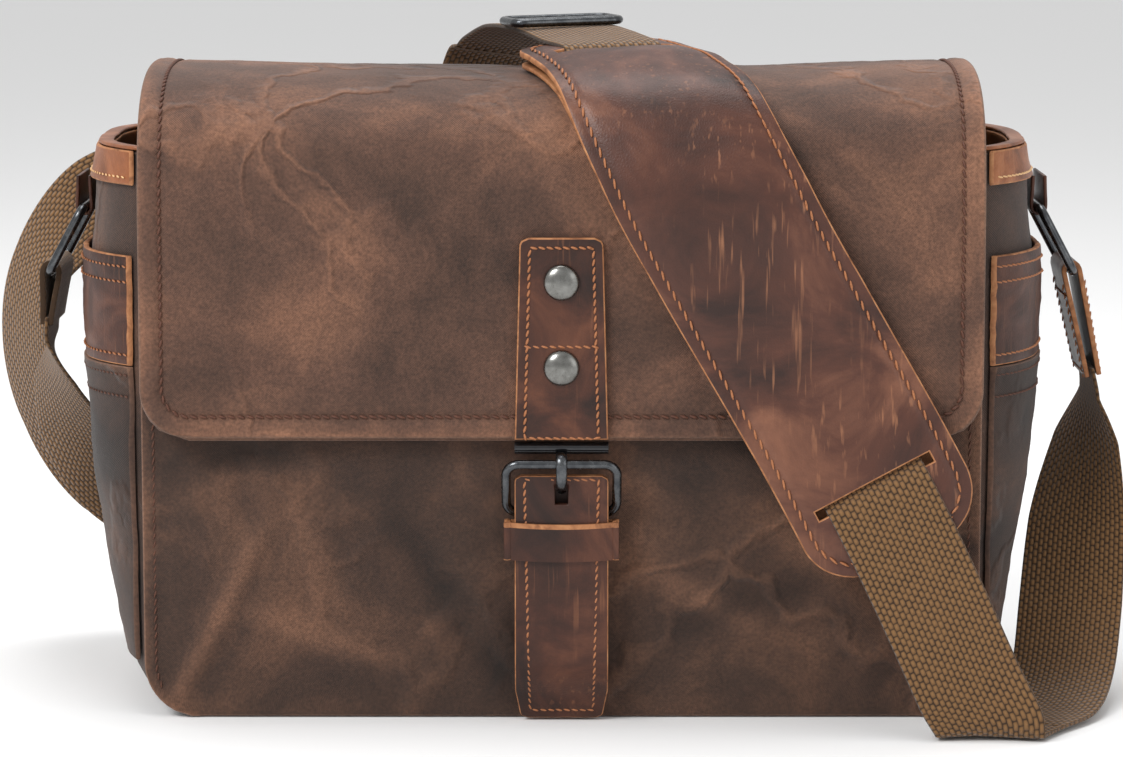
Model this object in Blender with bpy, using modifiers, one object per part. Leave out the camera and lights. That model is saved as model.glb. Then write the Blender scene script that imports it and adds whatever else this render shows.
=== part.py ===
"""Camera satchel: a canvas bag with a leather-trimmed flap, a buckle closure, a padded
insert and a webbing shoulder strap with a leather pad.

Metres, +Z up. The bag's front faces -Y and the origin is the middle of its flat base.
"""

import math

import bmesh
import bpy
from mathutils import Matrix, Vector

# ---- driving dimensions -------------------------------------------------------------
HALF_WIDTH = 0.149          # front panel, half its width
HALF_DEPTH = 0.0651         # base to the outer face of the front or back panel
RIM_Z = 0.2020              # top of the side gussets
CORNER_RADIUS = 0.020       # bottom corners of the panels
CANVAS = 0.0022             # doubled waxed canvas
LEATHER = 0.0016            # trim leather
GAP = 0.0003                # between pieces that touch
FRONT_BULGE = 0.0068        # how far the front panel stands out in its middle

INSERT_HALF = (0.137, 0.0605)
INSERT_Z = (0.0050, 0.1720)
INSERT_WALL = 0.0075
DIVIDER_X = 0.046
DIVIDER_TOP = 0.160

HINGE_Y = 0.0680            # flap hinge line, along X
HINGE_Z = 0.2030
FLAP_HALF = 0.148
FLAP_RADIUS = 0.017
FLAP_LAYER = 0.0020
FLAP_EDGE_LIFT = 0.0025     # how much the ends of the flap's top stand higher

WEBBING = 0.038
WEBBING_THICK = 0.0020
PAD_HALF = 0.032
PAD_RADIUS = 0.019
PAD_OVERHANG = 0.027        # pad beyond each of its slots
PAD_BACKING = 0.0016
PAD_GAP = 0.0008            # between the layers of the curved pad
PAD_LEATHER = 0.0022
SLOT_LENGTH = 0.044
SLOT_WIDTH = 0.0036

STRAP_PLANE_Y = -0.0800     # middle of the lower closure strap's thickness, by the buckle
STRAP_HALF = 0.0165
STRAP_THICK = 0.0036
STRAP_TOP = 0.0900
POCKET_INSET = 0.025  # of the gusset's depth, at each end
BUCKLE_CORNER = 0.0045
CHAPE_LOW, CHAPE_HIGH = (-0.012, -0.0741, 0.066), (0.012, -0.0728, 0.088)
PRONG_HOLE_SIZE = (0.0046, 0.010, 0.0070)
KEEPER_WALL = 0.0013
STRAP_TAPER, STRAP_TAPER_LENGTH = 0.0020, 0.013
RING_CORNER = 0.004
TAB_HALF, TAB_THICK, TAB_LENGTH = 0.0165, 0.0012, 0.0115
END_TAB_HALF, END_TAB_THICK, END_TAB_LENGTH = 0.0175, 0.0018, 0.040
SLIDER_HALF, SLIDER_DEPTH, SLIDER_BAR, SLIDER_THICK = 0.0225, 0.0095, 0.0028, 0.0026
BUCKLE_WIRE = 0.00165
BUCKLE_HALF = 0.0195        # to the middle of the side wires
BUCKLE_LOW = Vector((0.0, -0.07615, 0.0762))
BUCKLE_HIGH = Vector((0.0, -0.0838, 0.0945))
PRONG_WIRE = 0.0012
PRONG_HOLE_Z = 0.0845
KEEPER_Z = (0.0605, 0.0738)
KEEPER_HALF = 0.0192
HOOK_BAR = Vector((0.0, -0.0775, 0.0995))
HOOK_RADIUS = 0.00225
RIVET_RADIUS = 0.0063
RIVET_Z = {"rivet_upper": 0.1585, "rivet_lower": 0.1285}

RING_WIRE = 0.00165
RING_WIDTH = 0.046          # along Y, between wire middles
RING_HEIGHT = 0.0265
RING_Y = 0.011
RING_PIVOT = Vector((0.1751, RING_Y, 0.1775))
RING_TILT = math.radians(28)

# ---- colours ------------------------------------------------------------------------
CANVAS_BROWN = (0.130, 0.078, 0.050)
LINING_GREY = (0.050, 0.046, 0.044)
LEATHER_BROWN = (0.090, 0.034, 0.018)
LEATHER_TAN = (0.400, 0.130, 0.040)
WEBBING_KHAKI = (0.250, 0.150, 0.055)
GUNMETAL = (0.050, 0.052, 0.056)
NICKEL = (0.330, 0.330, 0.310)
BLACK_METAL = (0.010, 0.010, 0.011)


def finish(name, colour, roughness, metallic=0.0):
    """A Principled material of one colour."""
    material = bpy.data.materials.new(name)
    material.use_nodes = True
    shader = material.node_tree.nodes["Principled BSDF"]
    shader.inputs["Base Color"].default_value = (*colour, 1.0)
    shader.inputs["Roughness"].default_value = roughness
    shader.inputs["Metallic"].default_value = metallic
    return material


class Route:
    """A smooth curve through a few points, read by its arc length."""

    def __init__(self, points, steps=16):
        points = [Vector(p) for p in points]
        before = 2 * points[0] - points[1]
        after = 2 * points[-1] - points[-2]
        knots = [before, *points, after]
        self.dots = [points[0]]
        for a, b, c, d in zip(knots, knots[1:], knots[2:], knots[3:]):
            for step in range(1, steps + 1):
                t = step / steps
                self.dots.append(0.5 * (2 * b + (c - a) * t + (2 * a - 5 * b + 4 * c - d) * t**2
                                        + (3 * b - a - 3 * c + d) * t**3))
        self.marks = [0.0]
        for p, q in zip(self.dots, self.dots[1:]):
            self.marks.append(self.marks[-1] + (q - p).length)
        self.length = self.marks[-1]

    def at(self, s):
        """The point at arc length s; past the ends the curve runs on straight."""
        low, high = 0, len(self.marks) - 2
        while low < high:
            middle = (low + high + 1) // 2
            if self.marks[middle] <= s:
                low = middle
            else:
                high = middle - 1
        span = self.marks[low + 1] - self.marks[low]
        return self.dots[low].lerp(self.dots[low + 1], (s - self.marks[low]) / span)

    def direction(self, s):
        """The unit tangent at arc length s."""
        reach = 0.0012
        return (self.at(s + reach) - self.at(s - reach)).normalized()

    def nearest(self, target):
        """The arc length of the point closest to target."""
        target = Vector(target)
        best = min(range(len(self.dots)), key=lambda i: (self.dots[i] - target).length)
        return self.marks[best]


# ---- makers ---------------------------------------------------------------------------
def place(name, data, material):
    """A new object in the parts collection."""
    data.materials.append(material)
    piece = bpy.data.objects.new(name, data)
    parts.objects.link(piece)
    return piece


def mesh_piece(name, bm, material):
    """A bmesh as a new part."""
    bmesh.ops.recalc_face_normals(bm, faces=bm.faces)
    mesh = bpy.data.meshes.new(name)
    bm.to_mesh(mesh)
    bm.free()
    return place(name, mesh, material)


def block(name, low, high, material, bevel=0.0):
    """A box between two corners, with rounded edges where bevel is given."""
    low, high = Vector(low), Vector(high)
    bm = bmesh.new()
    bmesh.ops.create_cube(bm, size=1.0)
    bmesh.ops.scale(bm, vec=high - low, verts=bm.verts)
    bmesh.ops.translate(bm, vec=(low + high) / 2, verts=bm.verts)
    piece = mesh_piece(name, bm, material)
    if bevel:
        rounding = piece.modifiers.new("rounded edges", "BEVEL")
        rounding.width = bevel
        rounding.segments = 2
    return piece


def sheet(name, middle, columns, rows, thickness, material):
    """A sheet of even thickness whose middle surface is middle(u, v), u and v from 0 to 1."""
    bm = bmesh.new()
    bmesh.ops.create_grid(bm, x_segments=columns, y_segments=rows, size=0.5)
    for vert in bm.verts:
        vert.co = middle(vert.co.x + 0.5, vert.co.y + 0.5)
    piece = mesh_piece(name, bm, material)
    shell = piece.modifiers.new("thickness", "SOLIDIFY")
    shell.thickness = thickness
    shell.offset = 0.0
    shell.use_even_offset = True
    return piece


def wire(name, points, radius, material, closed=False):
    """A round wire through the points."""
    curve = bpy.data.curves.new(name, "CURVE")
    curve.dimensions = "3D"
    curve.bevel_depth = radius
    curve.bevel_resolution = 2
    curve.use_fill_caps = not closed
    spline = curve.splines.new("POLY")
    spline.points.add(len(points) - 1)
    for dot, point in zip(spline.points, points):
        dot.co = (*point, 1.0)
    spline.use_cyclic_u = closed
    return place(name, curve, material)


def rounded_rectangle(half_width, half_height, radius, per_corner=4):
    """Points of a rounded rectangle in the XY plane, counter-clockwise."""
    corners = ((1, 1, 0), (-1, 1, 90), (-1, -1, 180), (1, -1, 270))
    points = []
    for side_x, side_y, start in corners:
        centre = Vector((side_x * (half_width - radius), side_y * (half_height - radius), 0))
        for step in range(per_corner + 1):
            angle = math.radians(start + 90 * step / per_corner)
            points.append(centre + radius * Vector((math.cos(angle), math.sin(angle), 0)))
    return points


def flat_outline(name, outlines, thickness, material, bevel=0.0):
    """A flat piece from closed outlines in the XY plane; inner outlines are its holes."""
    curve = bpy.data.curves.new(name, "CURVE")
    curve.dimensions = "2D"
    curve.fill_mode = "BOTH"
    curve.extrude = thickness / 2 - bevel
    curve.bevel_depth = bevel
    curve.bevel_resolution = 1
    for points in outlines:
        spline = curve.splines.new("POLY")
        spline.points.add(len(points) - 1)
        for dot, point in zip(spline.points, points):
            dot.co = (point[0], point[1], 0.0, 1.0)
        spline.use_cyclic_u = True
    return place(name, curve, material)


def turned(name, profile, material, steps=20):
    """A turned piece: (radius, height) points from its outer side to its foot, about Z."""
    bm = bmesh.new()
    verts = [bm.verts.new((radius, 0, height)) for radius, height in profile]
    for a, b in zip(verts, verts[1:]):
        bm.edges.new((a, b))
    mesh = bpy.data.meshes.new(name)
    bm.to_mesh(mesh)
    bm.free()
    piece = place(name, mesh, material)
    lathe = piece.modifiers.new("turning", "SCREW")
    lathe.steps = steps
    lathe.render_steps = steps
    lathe.use_merge_vertices = True
    lathe.merge_threshold = 0.0001
    return piece


def cutter_box(name, size, matrix):
    """A wire box that cuts holes; it isn't a part."""
    bm = bmesh.new()
    bmesh.ops.create_cube(bm, size=1.0)
    bmesh.ops.scale(bm, vec=size, verts=bm.verts)
    bmesh.ops.transform(bm, matrix=matrix, verts=bm.verts)
    bmesh.ops.recalc_face_normals(bm, faces=bm.faces)
    mesh = bpy.data.meshes.new(name)
    bm.to_mesh(mesh)
    bm.free()
    tool = bpy.data.objects.new(name, mesh)
    tool.hide_render = True
    tool.display_type = "WIRE"
    cutters.objects.link(tool)
    return tool


def cut(piece, tool):
    """Cuts tool out of piece."""
    hole = piece.modifiers.new(tool.name, "BOOLEAN")
    hole.operation = "DIFFERENCE"
    hole.solver = "EXACT"
    hole.object = tool


def carry(name, pivot, *pieces):
    """Parents pieces that move together to an empty on their joint's axis."""
    empty = bpy.data.objects.new(name, None)
    empty.empty_display_size = 0.01
    empty.location = pivot
    parts.objects.link(empty)
    for piece in pieces:
        piece.parent = empty
        piece.matrix_parent_inverse = Matrix.Translation(-Vector(pivot))


def blend(pairs, value):
    """Reads a value between (place, amount) pairs."""
    for (low, a), (high, b) in zip(pairs, pairs[1:]):
        if value <= high:
            return a + (b - a) * max(0.0, (value - low) / (high - low))
    return pairs[-1][1]


def end_rounding(distance, radius):
    """How much narrower a strip with rounded corners is, at a distance from its end."""
    if distance >= radius:
        return 0.0
    return radius - math.sqrt(max(0.0, radius**2 - (radius - distance) ** 2))


# ---- body -------------------------------------------------------------------------------
def front_middle(x, z, lift=0.0):
    """The front panel's middle surface, or one lifted off it towards the front."""
    crown = math.sin(math.pi * min(1.0, z / 0.206)) ** 0.6 if z > 0 else 0.0
    across = 1.0 - min(1.0, abs(x) / HALF_WIDTH) ** 4
    return Vector((x, -(HALF_DEPTH - CANVAS / 2) - FRONT_BULGE * crown * across - lift, z))


def front_half_width(z):
    """Half the front panel's width at height z, with its round bottom corners."""
    return HALF_WIDTH - end_rounding(z, CORNER_RADIUS)


GUSSET_BULGE = ((0.0, 0.0), (0.015, 0.008), (0.046, 0.013), (0.082, 0.0195), (0.120, 0.0225),
                (0.165, 0.0225), (0.190, 0.0205), (0.2021, 0.0175))


GUSSET_REACH = HALF_DEPTH - CANVAS - 0.0014


def gusset_middle(side, u, z, lift=0.0):
    """The side gusset's middle surface at depth share u and height z, bulged outwards."""
    y = (2 * u - 1) * GUSSET_REACH
    edge = HALF_WIDTH - CANVAS / 2 - end_rounding(z, CORNER_RADIUS)
    bulge = blend(GUSSET_BULGE, z) * (1 - abs(2 * u - 1) ** 3)
    return Vector((side * (edge + bulge + lift), y, z))


def make_body():
    """The canvas shell: base, panels, gussets, bindings and side pockets."""
    deep = HALF_DEPTH - CANVAS - GAP
    flat = HALF_WIDTH - CORNER_RADIUS - GAP
    block("base_panel", (-flat, -deep, 0), (flat, deep, CANVAS), canvas)
    board_top = 2 * CANVAS + GAP
    block("base_board", (-0.1300, -0.060, CANVAS + GAP), (0.1300, 0.060, board_top), board)

    low, high = 0.0002, RIM_Z - 0.0010
    sheet("front_panel", lambda u, v: front_middle(
        (2 * u - 1) * front_half_width(low + (high - low) * v),
        low + (high - low) * v), 10, 12, CANVAS, canvas)
    sheet("back_panel", lambda u, v: Vector((
        (2 * u - 1) * front_half_width(low + (high - low) * v),
        HALF_DEPTH - CANVAS / 2, low + (high - low) * v)), 2, 10, CANVAS, canvas)
    trim = CANVAS / 2 + GAP + LEATHER / 2
    sheet("rim_binding_front", lambda u, v: front_middle(
        (2 * u - 1) * 0.144, RIM_Z - 0.0015 - 0.012 * v, trim + 0.0005), 6, 2, LEATHER, tan_leather)

    corner = CORNER_RADIUS - CANVAS / 2
    for word, side in (("left", -1), ("right", 1)):
        def gusset(u, v, side=side):
            """Round the bottom corner for the first stretch, then straight up."""
            if v < 0.25:
                angle = math.radians(90 * v / 0.25)
                z = CORNER_RADIUS - corner * math.cos(angle)
                shift = corner * (1 - math.sin(angle))
                bulge = blend(GUSSET_BULGE, z) * (1 - abs(2 * u - 1) ** 3)
                x = HALF_WIDTH - CANVAS / 2 - shift + bulge
                return Vector((side * x, (2 * u - 1) * GUSSET_REACH, z))
            z = CORNER_RADIUS + (RIM_Z - CORNER_RADIUS) * (v - 0.25) / 0.75
            return gusset_middle(side, u, z)

        sheet("gusset_" + word, gusset, 8, 16, CANVAS, canvas)

        def band(low_z, high_z, inset, lift, side=side):
            """A strip on the gusset between two heights."""
            return lambda u, v: gusset_middle(side, inset + (1 - 2 * inset) * u,
                                              low_z + (high_z - low_z) * v, lift)

        sheet("rim_binding_" + word, band(0.1905, RIM_Z + 0.0004, 0.02, trim + 0.0009),
              8, 2, LEATHER, tan_leather)
        pocket_lift = CANVAS / 2 + 0.0012 + 0.0009
        sheet("pocket_" + word, band(0.022, 0.1245, POCKET_INSET, pocket_lift), 8, 8, 0.0018, canvas)
        sheet("pocket_band_" + word, band(0.1250, 0.1650, POCKET_INSET, pocket_lift),
              8, 4, 0.0018, leather)


def make_insert():
    """The padded insert's five boards and its two dividers."""
    wide, deep = INSERT_HALF
    low, high = INSERT_Z
    floor_top = low + 0.0060
    wall_low = floor_top + GAP
    block("insert_base", (-wide, -deep, low), (wide, deep, floor_top), padding)
    for word, side in (("front", -1), ("back", 1)):
        faces = sorted((side * deep, side * (deep - INSERT_WALL)))
        block("insert_" + word, (-wide, faces[0], wall_low), (wide, faces[1], high),
              padding, 0.002)
    inner = deep - INSERT_WALL - GAP
    for word, side in (("left", -1), ("right", 1)):
        faces = sorted((side * wide, side * (wide - INSERT_WALL)))
        block("insert_" + word, (faces[0], -inner, wall_low), (faces[1], inner, high),
              padding, 0.002)
        middle = side * DIVIDER_X
        divider = block("divider_" + word,
                        (middle - 0.004, -inner + GAP, wall_low + GAP),
                        (middle + 0.004, inner - GAP, DIVIDER_TOP), padding, 0.002)
        carry("divider_" + word + "_travel", (middle, 0, wall_low), divider)


# ---- flap -----------------------------------------------------------------------------
FLAP_ROUTE = Route([(0, HINGE_Y, HINGE_Z), (0, 0.0655, 0.2120), (0, 0.0570, 0.2190),
                    (0, 0.0400, 0.2245),
                    (0, 0.0, 0.2290), (0, -0.0450, 0.2262), (0, -0.0705, 0.2135),
                    (0, -0.0785, 0.190), (0, -0.0795, 0.150), (0, -0.0795, 0.1030)])


def outward(route, s):
    """The unit normal of a side-view route, away from the bag, for routes run back to front."""
    along = route.direction(s)
    return Vector((0, along.z, -along.y))


def flap_surface(x, s, height):
    """A point at x and arc length s, at a height off the flap's outer face."""
    normal = outward(FLAP_ROUTE, s)
    lift = FLAP_EDGE_LIFT * (x / FLAP_HALF) ** 2 * max(0.0, normal.z) * min(1.0, s / 0.03)
    point = FLAP_ROUTE.at(s) + normal * height
    return Vector((x, point.y, point.z + lift))


def flap_s(z):
    """The arc length where the flap's front is at height z."""
    return FLAP_ROUTE.nearest((0, -0.0795, z))


def make_flap():
    """The flap's two layers and what is fixed to it."""
    length = FLAP_ROUTE.length

    def layer(height):
        def middle(u, v):
            s = length * v
            half = FLAP_HALF - end_rounding(length - s, FLAP_RADIUS)
            return flap_surface((2 * u - 1) * half, s, height)
        return middle

    outer = sheet("flap_canvas", layer(-FLAP_LAYER / 2), 10, 20, FLAP_LAYER, canvas)
    inner = sheet("flap_lining", layer(-FLAP_LAYER * 1.5 - GAP), 10, 20, FLAP_LAYER, lining)

    s_top, s_end = flap_s(0.1745), flap_s(0.1038)
    strap = sheet("closure_strap_upper", lambda u, v: flap_surface(
        (2 * u - 1) * (0.0146 + 0.0018 * v), s_top + (s_end - s_top) * v,
        GAP + 0.0013), 2, 6, 0.0026, leather)

    caps = []
    dome = [(RIVET_RADIUS, 0.0)]
    for step in range(1, 6):
        angle = math.radians(18 * step)
        dome.append((RIVET_RADIUS * math.cos(angle), 0.0028 * math.sin(angle)))
    dome[-1] = (0.0, 0.0028)
    profile = [*reversed(dome), (0.0, 0.0)]
    for name, z in RIVET_Z.items():
        cap = turned(name, profile, nickel)
        cap.rotation_euler = (math.radians(90), 0, 0)
        cap.location = (0, -0.0795 - 2 * GAP - 0.0028, z)
        caps.append(cap)

    bar = cylinder("hook_bar", HOOK_BAR, HOOK_RADIUS, 0.033, "X", black_metal)
    stud_y = -(0.0795 - 2 * FLAP_LAYER - 2 * GAP) + 0.0006
    stud = cylinder("snap_stud", (0, stud_y, RIVET_Z["rivet_lower"]), 0.006, 0.0010, "Y", nickel)
    socket_y = front_middle(0, RIVET_Z["rivet_lower"]).y - CANVAS / 2 - GAP - 0.0005
    cylinder("snap_socket", (0, socket_y, RIVET_Z["rivet_lower"]), 0.007, 0.0010, "Y", nickel)
    carry("flap_hinge", (0, HINGE_Y, HINGE_Z), outer, inner, strap, bar, stud, *caps)


def cylinder(name, centre, radius, length, axis, material, sides=20):
    """A plain cylinder along X or Y."""
    bm = bmesh.new()
    bmesh.ops.create_cone(bm, cap_ends=True, segments=sides, radius1=radius, radius2=radius,
                          depth=length)
    turn = Matrix.Rotation(math.radians(90), 4, "Y" if axis == "X" else "X")
    bmesh.ops.transform(bm, matrix=Matrix.Translation(Vector(centre)) @ turn, verts=bm.verts)
    return mesh_piece(name, bm, material)


# ---- closure --------------------------------------------------------------------------
def make_closure():
    """The lower strap, its buckle, prong and keeper."""
    low_y = front_middle(0, 0.0).y - CANVAS / 2 - 0.0012 - STRAP_THICK / 2
    side_view = Route([(0, low_y, 0.0015), (0, low_y - 0.0045, 0.010),
                       (0, STRAP_PLANE_Y + 0.0010, 0.020), (0, STRAP_PLANE_Y, 0.0290),
                       (0, STRAP_PLANE_Y, 0.0550), (0, STRAP_PLANE_Y, STRAP_TOP)])

    def middle(u, v):
        s = side_view.length * v
        half = STRAP_HALF - STRAP_TAPER * max(0.0, 1 - s / STRAP_TAPER_LENGTH)
        point = side_view.at(s)
        return Vector(((2 * u - 1) * half, point.y, point.z))

    strap = sheet("closure_strap_lower", middle, 2, 18, STRAP_THICK, leather)
    hole = Matrix.Translation((0, STRAP_PLANE_Y, PRONG_HOLE_Z - 0.0003))
    cut(strap, cutter_box("prong_hole", PRONG_HOLE_SIZE, hole))
    block("buckle_chape", CHAPE_LOW, CHAPE_HIGH, leather)

    low, high = BUCKLE_LOW, BUCKLE_HIGH
    rise = high - low
    frame_points = []
    for point in rounded_rectangle(BUCKLE_HALF, rise.length / 2, BUCKLE_CORNER):
        frame_points.append((low + high) / 2 + rise.normalized() * point.y
                            + Vector((point.x, 0, 0)))
    frame = wire("buckle_frame", frame_points, BUCKLE_WIRE, gunmetal, closed=True)
    carry("buckle_pivot", low, frame)

    wrap = BUCKLE_WIRE + GAP + PRONG_WIRE
    points = []
    for step in range(9):
        angle = math.radians(-40 + 27.5 * step)
        points.append(high + wrap * Vector((0, math.cos(angle), math.sin(angle))))
    points += [Vector((0, -0.0865, 0.0905)), Vector((0, -0.0848, 0.0872)),
               Vector((0, -0.0822, 0.0852)), Vector((0, -0.0797, 0.0842))]
    prong = wire("buckle_prong", points, PRONG_WIRE, gunmetal)
    carry("prong_pivot", high, prong)

    outer_y = STRAP_THICK / 2 + GAP + KEEPER_WALL
    outlines = [rounded_rectangle(KEEPER_HALF, outer_y, 0.0012, 2),
                rounded_rectangle(STRAP_HALF + 0.0006, outer_y - KEEPER_WALL, 0.0003, 1)]
    keeper = flat_outline("keeper_loop", outlines, KEEPER_Z[1] - KEEPER_Z[0], leather)
    keeper.location = (0, STRAP_PLANE_Y, sum(KEEPER_Z) / 2)
    bpy.context.view_layer.update()


# ---- rings and strap ends ----------------------------------------------------------------
def hairpin(centre, down, radius, arms, spread):
    """A side-view route down one face of a bar, round it and back: a folded tab's middle."""
    across = Vector((-down.z, 0, down.x))
    points = [centre + down * arms + across * spread]
    points.append(centre + down * arms * 0.5 + across * (spread + radius) / 2)
    points.append(centre + down * radius + across * radius)
    for step in range(7):
        angle = math.radians(180 * step / 6)
        points.append(centre + radius * (across * math.cos(angle) - down * math.sin(angle)))
    points.append(centre + down * radius - across * radius)
    points.append(centre + down * arms * 0.5 - across * (spread + radius) / 2)
    points.append(centre + down * arms - across * spread)
    return Route(points, 4)


def folded(name, route, half_width, thickness, rows, material):
    """A strip folded along a side-view route, as wide as it is along Y."""
    return sheet(name, lambda u, v: route.at(route.length * v)
                 + Vector((0, (2 * u - 1) * half_width, 0)), 1, rows, thickness, material)


def make_rings():
    """Rings on the gussets with their tabs and the strap's ends."""
    for word, side in (("left", -1), ("right", 1)):
        pivot = Vector((side * RING_PIVOT.x, RING_PIVOT.y, RING_PIVOT.z))
        down = Vector((side * math.sin(RING_TILT), 0, -math.cos(RING_TILT)))
        ring_points = []
        for point in rounded_rectangle(RING_WIDTH / 2, RING_HEIGHT / 2, RING_CORNER):
            ring_points.append(pivot + down * (point.y + RING_HEIGHT / 2)
                               + Vector((0, point.x, 0)))
        ring = wire("ring_" + word, ring_points, RING_WIRE, gunmetal, closed=True)

        fold = RING_WIRE + GAP + TAB_THICK / 2
        tab_route = hairpin(pivot, Vector((0, 0, 1)), fold, TAB_LENGTH, fold - 0.0004)
        folded("ring_tab_" + word, tab_route, TAB_HALF, TAB_THICK, 24, leather)

        low_bar = pivot + down * RING_HEIGHT
        if side < 0:
            reach = Vector((side * 0.10, 0, -1)).normalized()
            end_route = hairpin(low_bar, reach, RING_WIRE + GAP + WEBBING_THICK / 2,
                                0.020, 0.0013)
            end = folded("webbing_loop_left", end_route, 0.0185, WEBBING_THICK, 30, webbing)
        else:
            reach = Vector((side * 0.22, 0, -1)).normalized()
            end_route = hairpin(low_bar, reach, RING_WIRE + GAP + END_TAB_THICK / 2,
                                END_TAB_LENGTH, 0.0022)
            end = folded("end_tab_right", end_route, END_TAB_HALF, END_TAB_THICK, 56, leather)
        carry("ring_" + word + "_pivot", pivot, ring, end)


# ---- shoulder strap ----------------------------------------------------------------------
def ribbon(name, stations, rows, material, width=WEBBING):
    """Webbing through (centre, across) stations; across is the direction of its width."""
    centre = Route([c for c, _ in stations])
    marks = [centre.nearest(c) for c, _ in stations]
    turns = list(zip(marks, [Vector(a).normalized() for _, a in stations]))

    def middle(u, v):
        s = centre.length * v
        across = blend(turns, s).normalized()
        point = centre.at(s) + across * (u - 0.5) * width
        point.z = max(point.z, WEBBING_THICK / 2 + GAP)
        return point

    return sheet(name, middle, 2, rows, WEBBING_THICK, material)


def strap_profile():
    """Side view of what the strap lies on: over the flap, then down in front to the floor."""
    points = []
    for share, height in ((0.06, 0.0070), (0.16, 0.0068), (0.26, 0.0050), (0.36, 0.0016),
                          (0.46, 0.0016), (0.56, 0.0026), (0.66, 0.0024), (0.78, 0.0014),
                          (0.90, 0.0012)):
        s = FLAP_ROUTE.length * share
        points.append(FLAP_ROUTE.at(s) + outward(FLAP_ROUTE, s) * height)
    points += [(0, -0.0826, 0.1050), (0, -0.0862, 0.0800), (0, -0.0910, 0.0430),
               (0, -0.0958, 0.0030)]
    return Route(points)


def make_strap():
    """The strap over the flap: pad, webbing and slider."""
    profile = strap_profile()
    marks = {
        "back": 0.0,
        "slider": profile.nearest((0, 0.012, 0.2345)),
        "upper": profile.nearest((0, -0.030, 0.2295)),
        "shoulder": profile.nearest((0, -0.0790, 0.2050)),
        "lower": profile.nearest((0, -0.0862, 0.0870)),
        "floor": profile.length,
    }
    lane = Route([(-0.024, marks["back"], 0), (0.0, marks["slider"], 0),
                  (0.019, marks["upper"], 0), (0.043, marks["shoulder"], 0),
                  (0.109, marks["lower"], 0), (0.149, marks["floor"], 0)])
    t_slider = lane.nearest((0.0, marks["slider"], 0))
    t_upper = lane.nearest((0.019, marks["upper"], 0))
    t_lower = lane.nearest((0.109, marks["lower"], 0))

    def surface(t, w, height):
        """A point at t along the strap, w across it and height off what it lies on."""
        centre, along = lane.at(t), lane.direction(t)
        x = centre.x + along.y * w
        s = centre.y - along.x * w
        point = profile.at(s) + outward(profile, s) * height
        return Vector((x, point.y, point.z))

    def strip(t_from, t_to, height):
        return lambda u, v: surface(t_from + (t_to - t_from) * v, (u - 0.5) * WEBBING, height)

    t_start, t_end = t_upper - PAD_OVERHANG, t_lower + PAD_OVERHANG

    def pad_layer(inset, height):
        def middle(u, v):
            first, last = t_start + inset, t_end - inset
            t = first + (last - first) * (0.5 - 0.5 * math.cos(math.pi * v))
            nearest = min(t - first, last - t)
            half = PAD_HALF - inset - end_rounding(nearest, PAD_RADIUS)
            return surface(t, (2 * u - 1) * half, height)
        return middle

    core = PAD_BACKING + PAD_GAP + WEBBING_THICK / 2
    leather_middle = PAD_BACKING + 2 * PAD_GAP + WEBBING_THICK + PAD_LEATHER / 2
    top = leather_middle + PAD_LEATHER / 2 + GAP + WEBBING_THICK / 2
    pad = sheet("pad_leather", pad_layer(0.0, leather_middle), 6, 30, PAD_LEATHER, leather)
    backing = sheet("pad_backing", pad_layer(0.0008, PAD_BACKING / 2), 6, 30, PAD_BACKING, lining)
    for name, t in (("slot_upper", t_upper), ("slot_lower", t_lower)):
        along = (surface(t + 0.002, 0, leather_middle) - surface(t - 0.002, 0, leather_middle))
        across = (surface(t, 0.01, leather_middle) - surface(t, -0.01, leather_middle))
        along, across = along.normalized(), across.normalized()
        normal = across.cross(along)
        frame = Matrix((across, along, normal)).transposed().to_4x4()
        frame.translation = surface(t, 0, leather_middle)
        cut(pad, cutter_box(name, (SLOT_LENGTH, SLOT_WIDTH, 0.0046), frame))

    middle_run = sheet("webbing_core", strip(t_upper, t_lower, core), 2, 28, WEBBING_THICK, webbing)
    last = lane.direction(lane.length - 0.002)

    def to_floor(u, v):
        """Down from the lower slot, ending level with the floor all across."""
        w = (u - 0.5) * WEBBING
        end = lane.length + 0.0022 + w * last.x / last.y
        return surface(t_lower + 0.0005 + (end - t_lower - 0.0005) * v, w, top)

    front_run = sheet("webbing_front", to_floor, 2, 12, WEBBING_THICK, webbing)
    top_run = sheet("webbing_top", strip(0.0, t_upper - 0.0005, top), 2, 12,
                    WEBBING_THICK, webbing)

    outlines = [rounded_rectangle(SLIDER_HALF, SLIDER_DEPTH, 0.004),
                rounded_rectangle(SLIDER_HALF - SLIDER_BAR, SLIDER_DEPTH - SLIDER_BAR, 0.002, 2)]
    slider = flat_outline("slider_frame", outlines, SLIDER_THICK, gunmetal, 0.0006)
    along = (surface(t_slider + 0.004, 0, top) - surface(t_slider - 0.004, 0, top)).normalized()
    across = (surface(t_slider, 0.01, top) - surface(t_slider, -0.01, top)).normalized()
    frame = Matrix((across, along, across.cross(along))).transposed().to_4x4()
    frame.translation = surface(t_slider, 0, top + WEBBING_THICK / 2 + SLIDER_THICK / 2 + 2 * GAP)
    slider.matrix_world = frame
    bpy.context.view_layer.update()
    carry("strap_swing", (0, HINGE_Y, HINGE_Z), pad, backing, middle_run, front_run, top_run,
          slider)


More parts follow.
